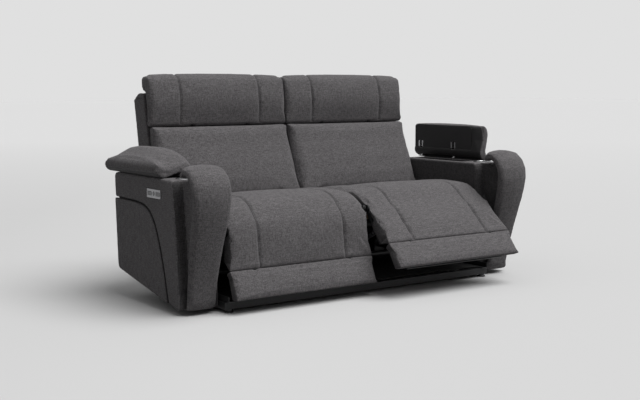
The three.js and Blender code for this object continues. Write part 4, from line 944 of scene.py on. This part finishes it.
class SOFA_OT_back_shells(bpy.types.Operator):
    """Back shells: upholstered rear shells with their steel ears"""

    bl_idname = "sofa.back_shells"
    bl_label = "Back shells"

    def execute(self, context):
        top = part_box("left_back_frame")[1].z
        low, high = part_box("left_seat_cushion")
        middle, half = across(low, high)
        at = pivot("left_back")
        work = merged("left_back_frame")
        cut_off(work, at + SHELL_FRONT, SHELL_FRONT_FACES)
        piece = finished("left_back_shell", work, "heather_cover")
        remeshed(piece, sizes().body_mesh, smoothing=4)
        seams = [Seam(0, middle + way * (half - SHELL_SEAM_IN), facing_back) for way in (-1, 1)]
        seams += [Seam(2, level, facing_back) for level in (top - SHELL_SEAM_DOWN, at.z - SHELL_SEAM_LOW)]
        sewn(piece, seams, depth=0.0025, width=0.005)
        kept_within(piece, low.x + SHELL_GAP, high.x - SHELL_GAP)
        both_sides(piece, "back_shell", "{side}_back", "back_frame")

        steel = bmesh.new()
        for way in (-1, 1):
            for joint, out, radius, rear, pin_radius, span, segments, bevel in EARS:
                x, about = middle + way * out, pivot(joint).yz
                strap(steel, about + Vector(rear), about, radius, (x - BAR_HALF, x + BAR_HALF))
                pin = sorted(x + way * edge for edge in span)
                rod(steel, pin_radius, pin, about, segments, bevel)
        ears = finished("left_back_ears", steel, "black_lacquer", smooth=False)
        both_sides(ears, "back_ears", "{side}_back", "back_frame")
        return {"FINISHED"}


def inside(place, low, high):
    return all(a <= value <= b for value, a, b in zip(place, low, high))


# How far round a console bin the lining reaches, and how far below the cup holder's rim it ends
BIN_MARGIN = 0.006
LINING_DOWN = 0.0125


class SOFA_OT_arm_bodies(bpy.types.Operator):
    """Arm bodies: the covered console boxes, with their lined bins"""

    bl_idname = "sofa.arm_bodies"
    bl_label = "Arm bodies"

    def execute(self, context):
        piece = copied("left_arm_frame", "left_arm_body", "heather_cover", "lining_board",
                       "heather_in_recess")
        remeshed(piece, sizes().body_mesh, smoothing=2)
        openings = frame["record"]["physics"]["openings"]
        bin_low, bin_high = next(entry["box_m"] for entry in openings if entry["name"] == "left_console_bin")
        low = [value - BIN_MARGIN for value in bin_low]
        high = [value + BIN_MARGIN for value in bin_high]
        high[2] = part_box("left_cup_holder")[1].z - LINING_DOWN
        for face in piece.data.polygons:
            # Painted shade: the recess beside the front band and the inner side take the darker copy of the cover
            if face.normal.y < -0.6 or face.normal.x > 0.7:
                face.material_index = 2
            if inside(face.center, low, high):
                face.material_index = 1
        sewn(piece, [])
        # A deep recess where the body meets the front band, with painted shade in it
        parted(piece, "left_front_band", reach=0.036, depth=0.018)
        parted(piece, "left_side_panel")
        both_sides(piece, "arm_body", "base", "arm_frame")
        return {"FINISHED"}


class SOFA_OT_side_panels(bpy.types.Operator):
    """Side panels: the padded lower rear parts of the outer sides"""

    bl_idname = "sofa.side_panels"
    bl_label = "Side panels"

    def execute(self, context):
        piece = copied("left_side_panel", "left_side_pad", "heather_cover")
        remeshed(piece, sizes().panel_mesh, smoothing=3)
        sewn(piece, [])
        parted(piece, "left_arm_frame")
        both_sides(piece, "side_pad", "base", "side_panel")
        return {"FINISHED"}


class SOFA_OT_front_bands(bpy.types.Operator):
    """Front bands: the padded scrolls that run up the arm's front and over its top"""

    bl_idname = "sofa.front_bands"
    bl_label = "Front bands"

    def execute(self, context):
        piece = copied("left_front_band", "left_front_scroll", "heather_cover")
        remeshed(piece, sizes().band_mesh, smoothing=3)
        inset(piece, FIRM_INSET)
        filled(piece, [], cap=0.006, stiffness=20.0)
        subdivided(piece)
        sewn(piece, [])
        parted(piece, "left_arm_frame")
        both_sides(piece, "front_scroll", "base", "front_band")
        return {"FINISHED"}


class SOFA_OT_console_lids(bpy.types.Operator):
    """Console lids: padded arm tops that swing up over the bins"""

    bl_idname = "sofa.console_lids"
    bl_label = "Console lids"

    def execute(self, context):
        work = merged("left_lid_pad")
        hinge, (low, high) = pivot("left_lid"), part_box("left_lid_hinge")
        # Padding that closes the outer edge over the hinge arms
        turns = [math.radians(angle) for angle in range(150, 281, 10)]
        fan = [(0, 0)] + [(HINGE_PADDING * math.cos(turn), HINGE_PADDING * math.sin(turn)) for turn in turns]
        for arm in (low.y + HINGE_ARM_INSET, high.y - HINGE_ARM_INSET):
            corners = [(hinge.x + x, arm - HINGE_PADDING_HALF, hinge.z + z) for x, z in fan]
            prism(work, corners, (0, 2 * HINGE_PADDING_HALF, 0))
        piece = finished("left_lid_cushion", work, "heather_cover", "lining_board")
        remeshed(piece, sizes().lid_mesh, smoothing=2)
        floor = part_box("left_lid_board")[0].z
        edge = near_level(floor + 0.006, reach=0.016)
        inset(piece, FIRM_INSET, edge)
        filled(piece, [], cap=0.006, hold=edge)
        inset(piece, -LID_GROWTH)
        places = points(piece)
        for place in places:
            out, down = hinge.x - place.x, hinge.z - place.z
            reach = math.hypot(out, down)
            if RIM_NEAR < reach < RIM_FAR and out > RIM_INNER:
                angle = math.degrees(math.atan2(down, out))
                share = max(0.0, min(1.0, (angle - RIM_START) / RIM_FULL_OVER))
                grown = 1 + (RIM_RADIUS / reach - 1) * share
                place.x, place.z = hinge.x - out * grown, hinge.z - down * grown
            place.z = max(place.z, floor - LID_FLOOR_DROP)
        moved(piece, places)
        subdivided(piece)
        for face in piece.data.polygons:
            if face.normal.z < -0.5 and face.center.z < floor + 0.02:
                face.material_index = 1
        sewn(piece, [])
        both_sides(piece, "lid_cushion", "{side}_lid", "lid_pad", pose=open_lid)
        return {"FINISHED"}


# The path of a dust cover: its gaps to the solids, its bend and its thickness
DUST_TOP_GAP, DUST_FLOOR_GAP, DUST_SIDE_GAP = 0.0006, 0.0062, 0.0012
DUST_BEND = 0.020
DUST_CLOTH = 0.0006


class SOFA_OT_dust_covers(bpy.types.Operator):
    """Dust covers: black cloth behind and below each mechanism, stapled to the seat frame and the rails; its
    near-black colour also paints the shade under the seats
    """

    bl_idname = "sofa.dust_covers"
    bl_label = "Dust covers"

    def execute(self, context):
        seat_low, seat_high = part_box("left_seat_frame")
        outer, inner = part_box("left_outer_plate"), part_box("left_inner_plate")
        rear, front = seat_high.y - 0.010, seat_low.y - 0.050
        top, floor = seat_low.z - DUST_TOP_GAP, outer[0].z + DUST_FLOOR_GAP
        profile = [(rear, top), (rear + 0.003, (top + floor) / 2), (rear, floor + DUST_BEND),
                   (rear - DUST_BEND * 0.3, floor + DUST_BEND * 0.3), (rear - DUST_BEND, floor),
                   ((rear + front) / 2, floor + 0.001), (front, floor)]
        low_x, high_x = outer[1].x + DUST_SIDE_GAP, inner[0].x - DUST_SIDE_GAP
        work = bmesh.new()
        start = [work.verts.new((low_x, y, z)) for y, z in profile]
        edges = [work.edges.new(pair) for pair in zip(start, start[1:])]
        grown = bmesh.ops.extrude_edge_only(work, edges=edges)["geom"]
        bmesh.ops.translate(work, verts=vertices_of(grown), vec=(high_x - low_x, 0, 0))
        bmesh.ops.subdivide_edges(work, edges=work.edges[:], cuts=7, use_grid_fill=True)
        for vertex in work.verts:
            # The cloth isn't quite flat
            wave = math.sin(vertex.co.x * 41.0) * math.sin((vertex.co.y + vertex.co.z) * 37.0)
            vertex.co += Vector((0, 0.0008, 0.0006)) * wave
        piece = finished("left_dust_cover", work, "dust_cloth")
        hem = piece.modifiers.new("cloth thickness", "SOLIDIFY")
        hem.thickness, hem.offset = DUST_CLOTH, 0.0
        applied(piece)
        right = twin(piece, "right_dust_cover")
        for obj in (piece, right):
            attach(obj, "base")
        return {"FINISHED"}


NODE_LOOKS = {
    "frame_paint": ("base_frame",),
    "timber": ("seat_frame",),
    "moulded_plastic": ("glide",),
    "chrome": ("cup_holder",),
    "brushed_face": ("control_plate",),
    "satin_keys": ("rocker", "home_button"),
    "hinge_steel": ("lid_hinge",),
    "lid_board_lining": ("lid_board",),
    "zinc_plate": ("drive_link",),
    "black_lacquer": ("outer_plate", "inner_plate", "drive_unit", "crank_shaft", "drive_block", "calf_board",
                      "foot_board", "headrest_bracket"),
}


class SOFA_OT_hard_parts(bpy.types.Operator):
    """Hard parts: finishes of the frame, mechanism, cup holders, keys and hinges"""

    bl_idname = "sofa.hard_parts"
    bl_label = "Hard parts"

    def execute(self, context):
        for name, obj in NODES.items():
            for look, endings in NODE_LOOKS.items():
                if name.endswith(endings):
                    obj.data.materials.clear()
                    obj.data.materials.append(material(look))
        return {"FINISHED"}


class SOFA_OT_studio(bpy.types.Operator):
    """Studio: pale floor and backdrop, soft light from above, and the camera"""

    bl_idname = "sofa.studio"
    bl_label = "Studio"

    def execute(self, context):
        scene, s = context.scene, context.scene.sofa_studio
        work = bmesh.new()
        bmesh.ops.create_grid(work, x_segments=4, y_segments=4, size=60)
        floor = finished("studio_floor", work, "studio_floor", smooth=False)

        scene.world = bpy.data.worlds.new("studio")
        r = Recipe(scene.world)
        glow = r.axes("Generated").out("Z").rise(0.0, 0.9, s.around, s.overhead)
        around = r.node("ShaderNodeBackground", {}, (1.0, 1.0, 1.0), glow)
        behind = r.node("ShaderNodeBackground", {}, tuple(s.backdrop), 1.0)
        r.node("ShaderNodeOutputWorld", {}, r.node("ShaderNodeMixShader", {}, r.seen(), around, behind))

        lamp = bpy.data.lights.new("key_sun", "SUN")
        lamp.energy, lamp.angle = s.key_strength, math.radians(50.0)
        sun = bpy.data.objects.new("key_sun", lamp)
        sun.rotation_euler = SUN_RAYS.to_track_quat("-Z", "Y").to_euler()
        scene.collection.objects.link(sun)

        lens = bpy.data.cameras.new("camera")
        lens.sensor_width, lens.lens, lens.clip_end = 36.0, CAMERA_LENS, 200.0
        camera = bpy.data.objects.new("camera", lens)
        camera.location = CAMERA_AT
        camera.rotation_euler = [math.radians(angle) for angle in CAMERA_TURN]
        scene.collection.objects.link(camera)
        scene.camera = camera
        scene.view_settings.view_transform = "Standard"
        return {"FINISHED"}


MAKERS = (
    SOFA_OT_studio, SOFA_OT_hard_parts, SOFA_OT_seat_covers, SOFA_OT_foot_pads, SOFA_OT_back_cushions,
    SOFA_OT_headrests, SOFA_OT_back_shells, SOFA_OT_arm_bodies, SOFA_OT_side_panels, SOFA_OT_front_bands,
    SOFA_OT_console_lids, SOFA_OT_dust_covers,
)


class SOFA_PT_pieces(bpy.types.Panel):
    """Sizes, colours and makers of the sofa"""

    bl_idname = "SOFA_PT_pieces"
    bl_label = "Recliner sofa"
    bl_space_type = "VIEW_3D"
    bl_region_type = "UI"
    bl_category = "Sofa"

    def draw(self, context):
        for name, group in SETTINGS:
            box = self.layout.box()
            for field in group.__annotations__:
                box.prop(getattr(context.scene, name), field)
        for maker in MAKERS:
            self.layout.operator(maker.bl_idname)


def register():
    for name, group in SETTINGS:
        bpy.utils.register_class(group)
        setattr(bpy.types.Scene, name, bpy.props.PointerProperty(type=group))
    for entry in (*MAKERS, SOFA_PT_pieces):
        bpy.utils.register_class(entry)


def unregister():
    for entry in (SOFA_PT_pieces, *reversed(MAKERS)):
        bpy.utils.unregister_class(entry)
    for name, group in reversed(SETTINGS):
        delattr(bpy.types.Scene, name)
        bpy.utils.unregister_class(group)


def main():
    register()
    for maker in MAKERS:
        family, name = maker.bl_idname.split(".")
        getattr(getattr(bpy.ops, family), name)()


if __name__ == "__main__":
    main()
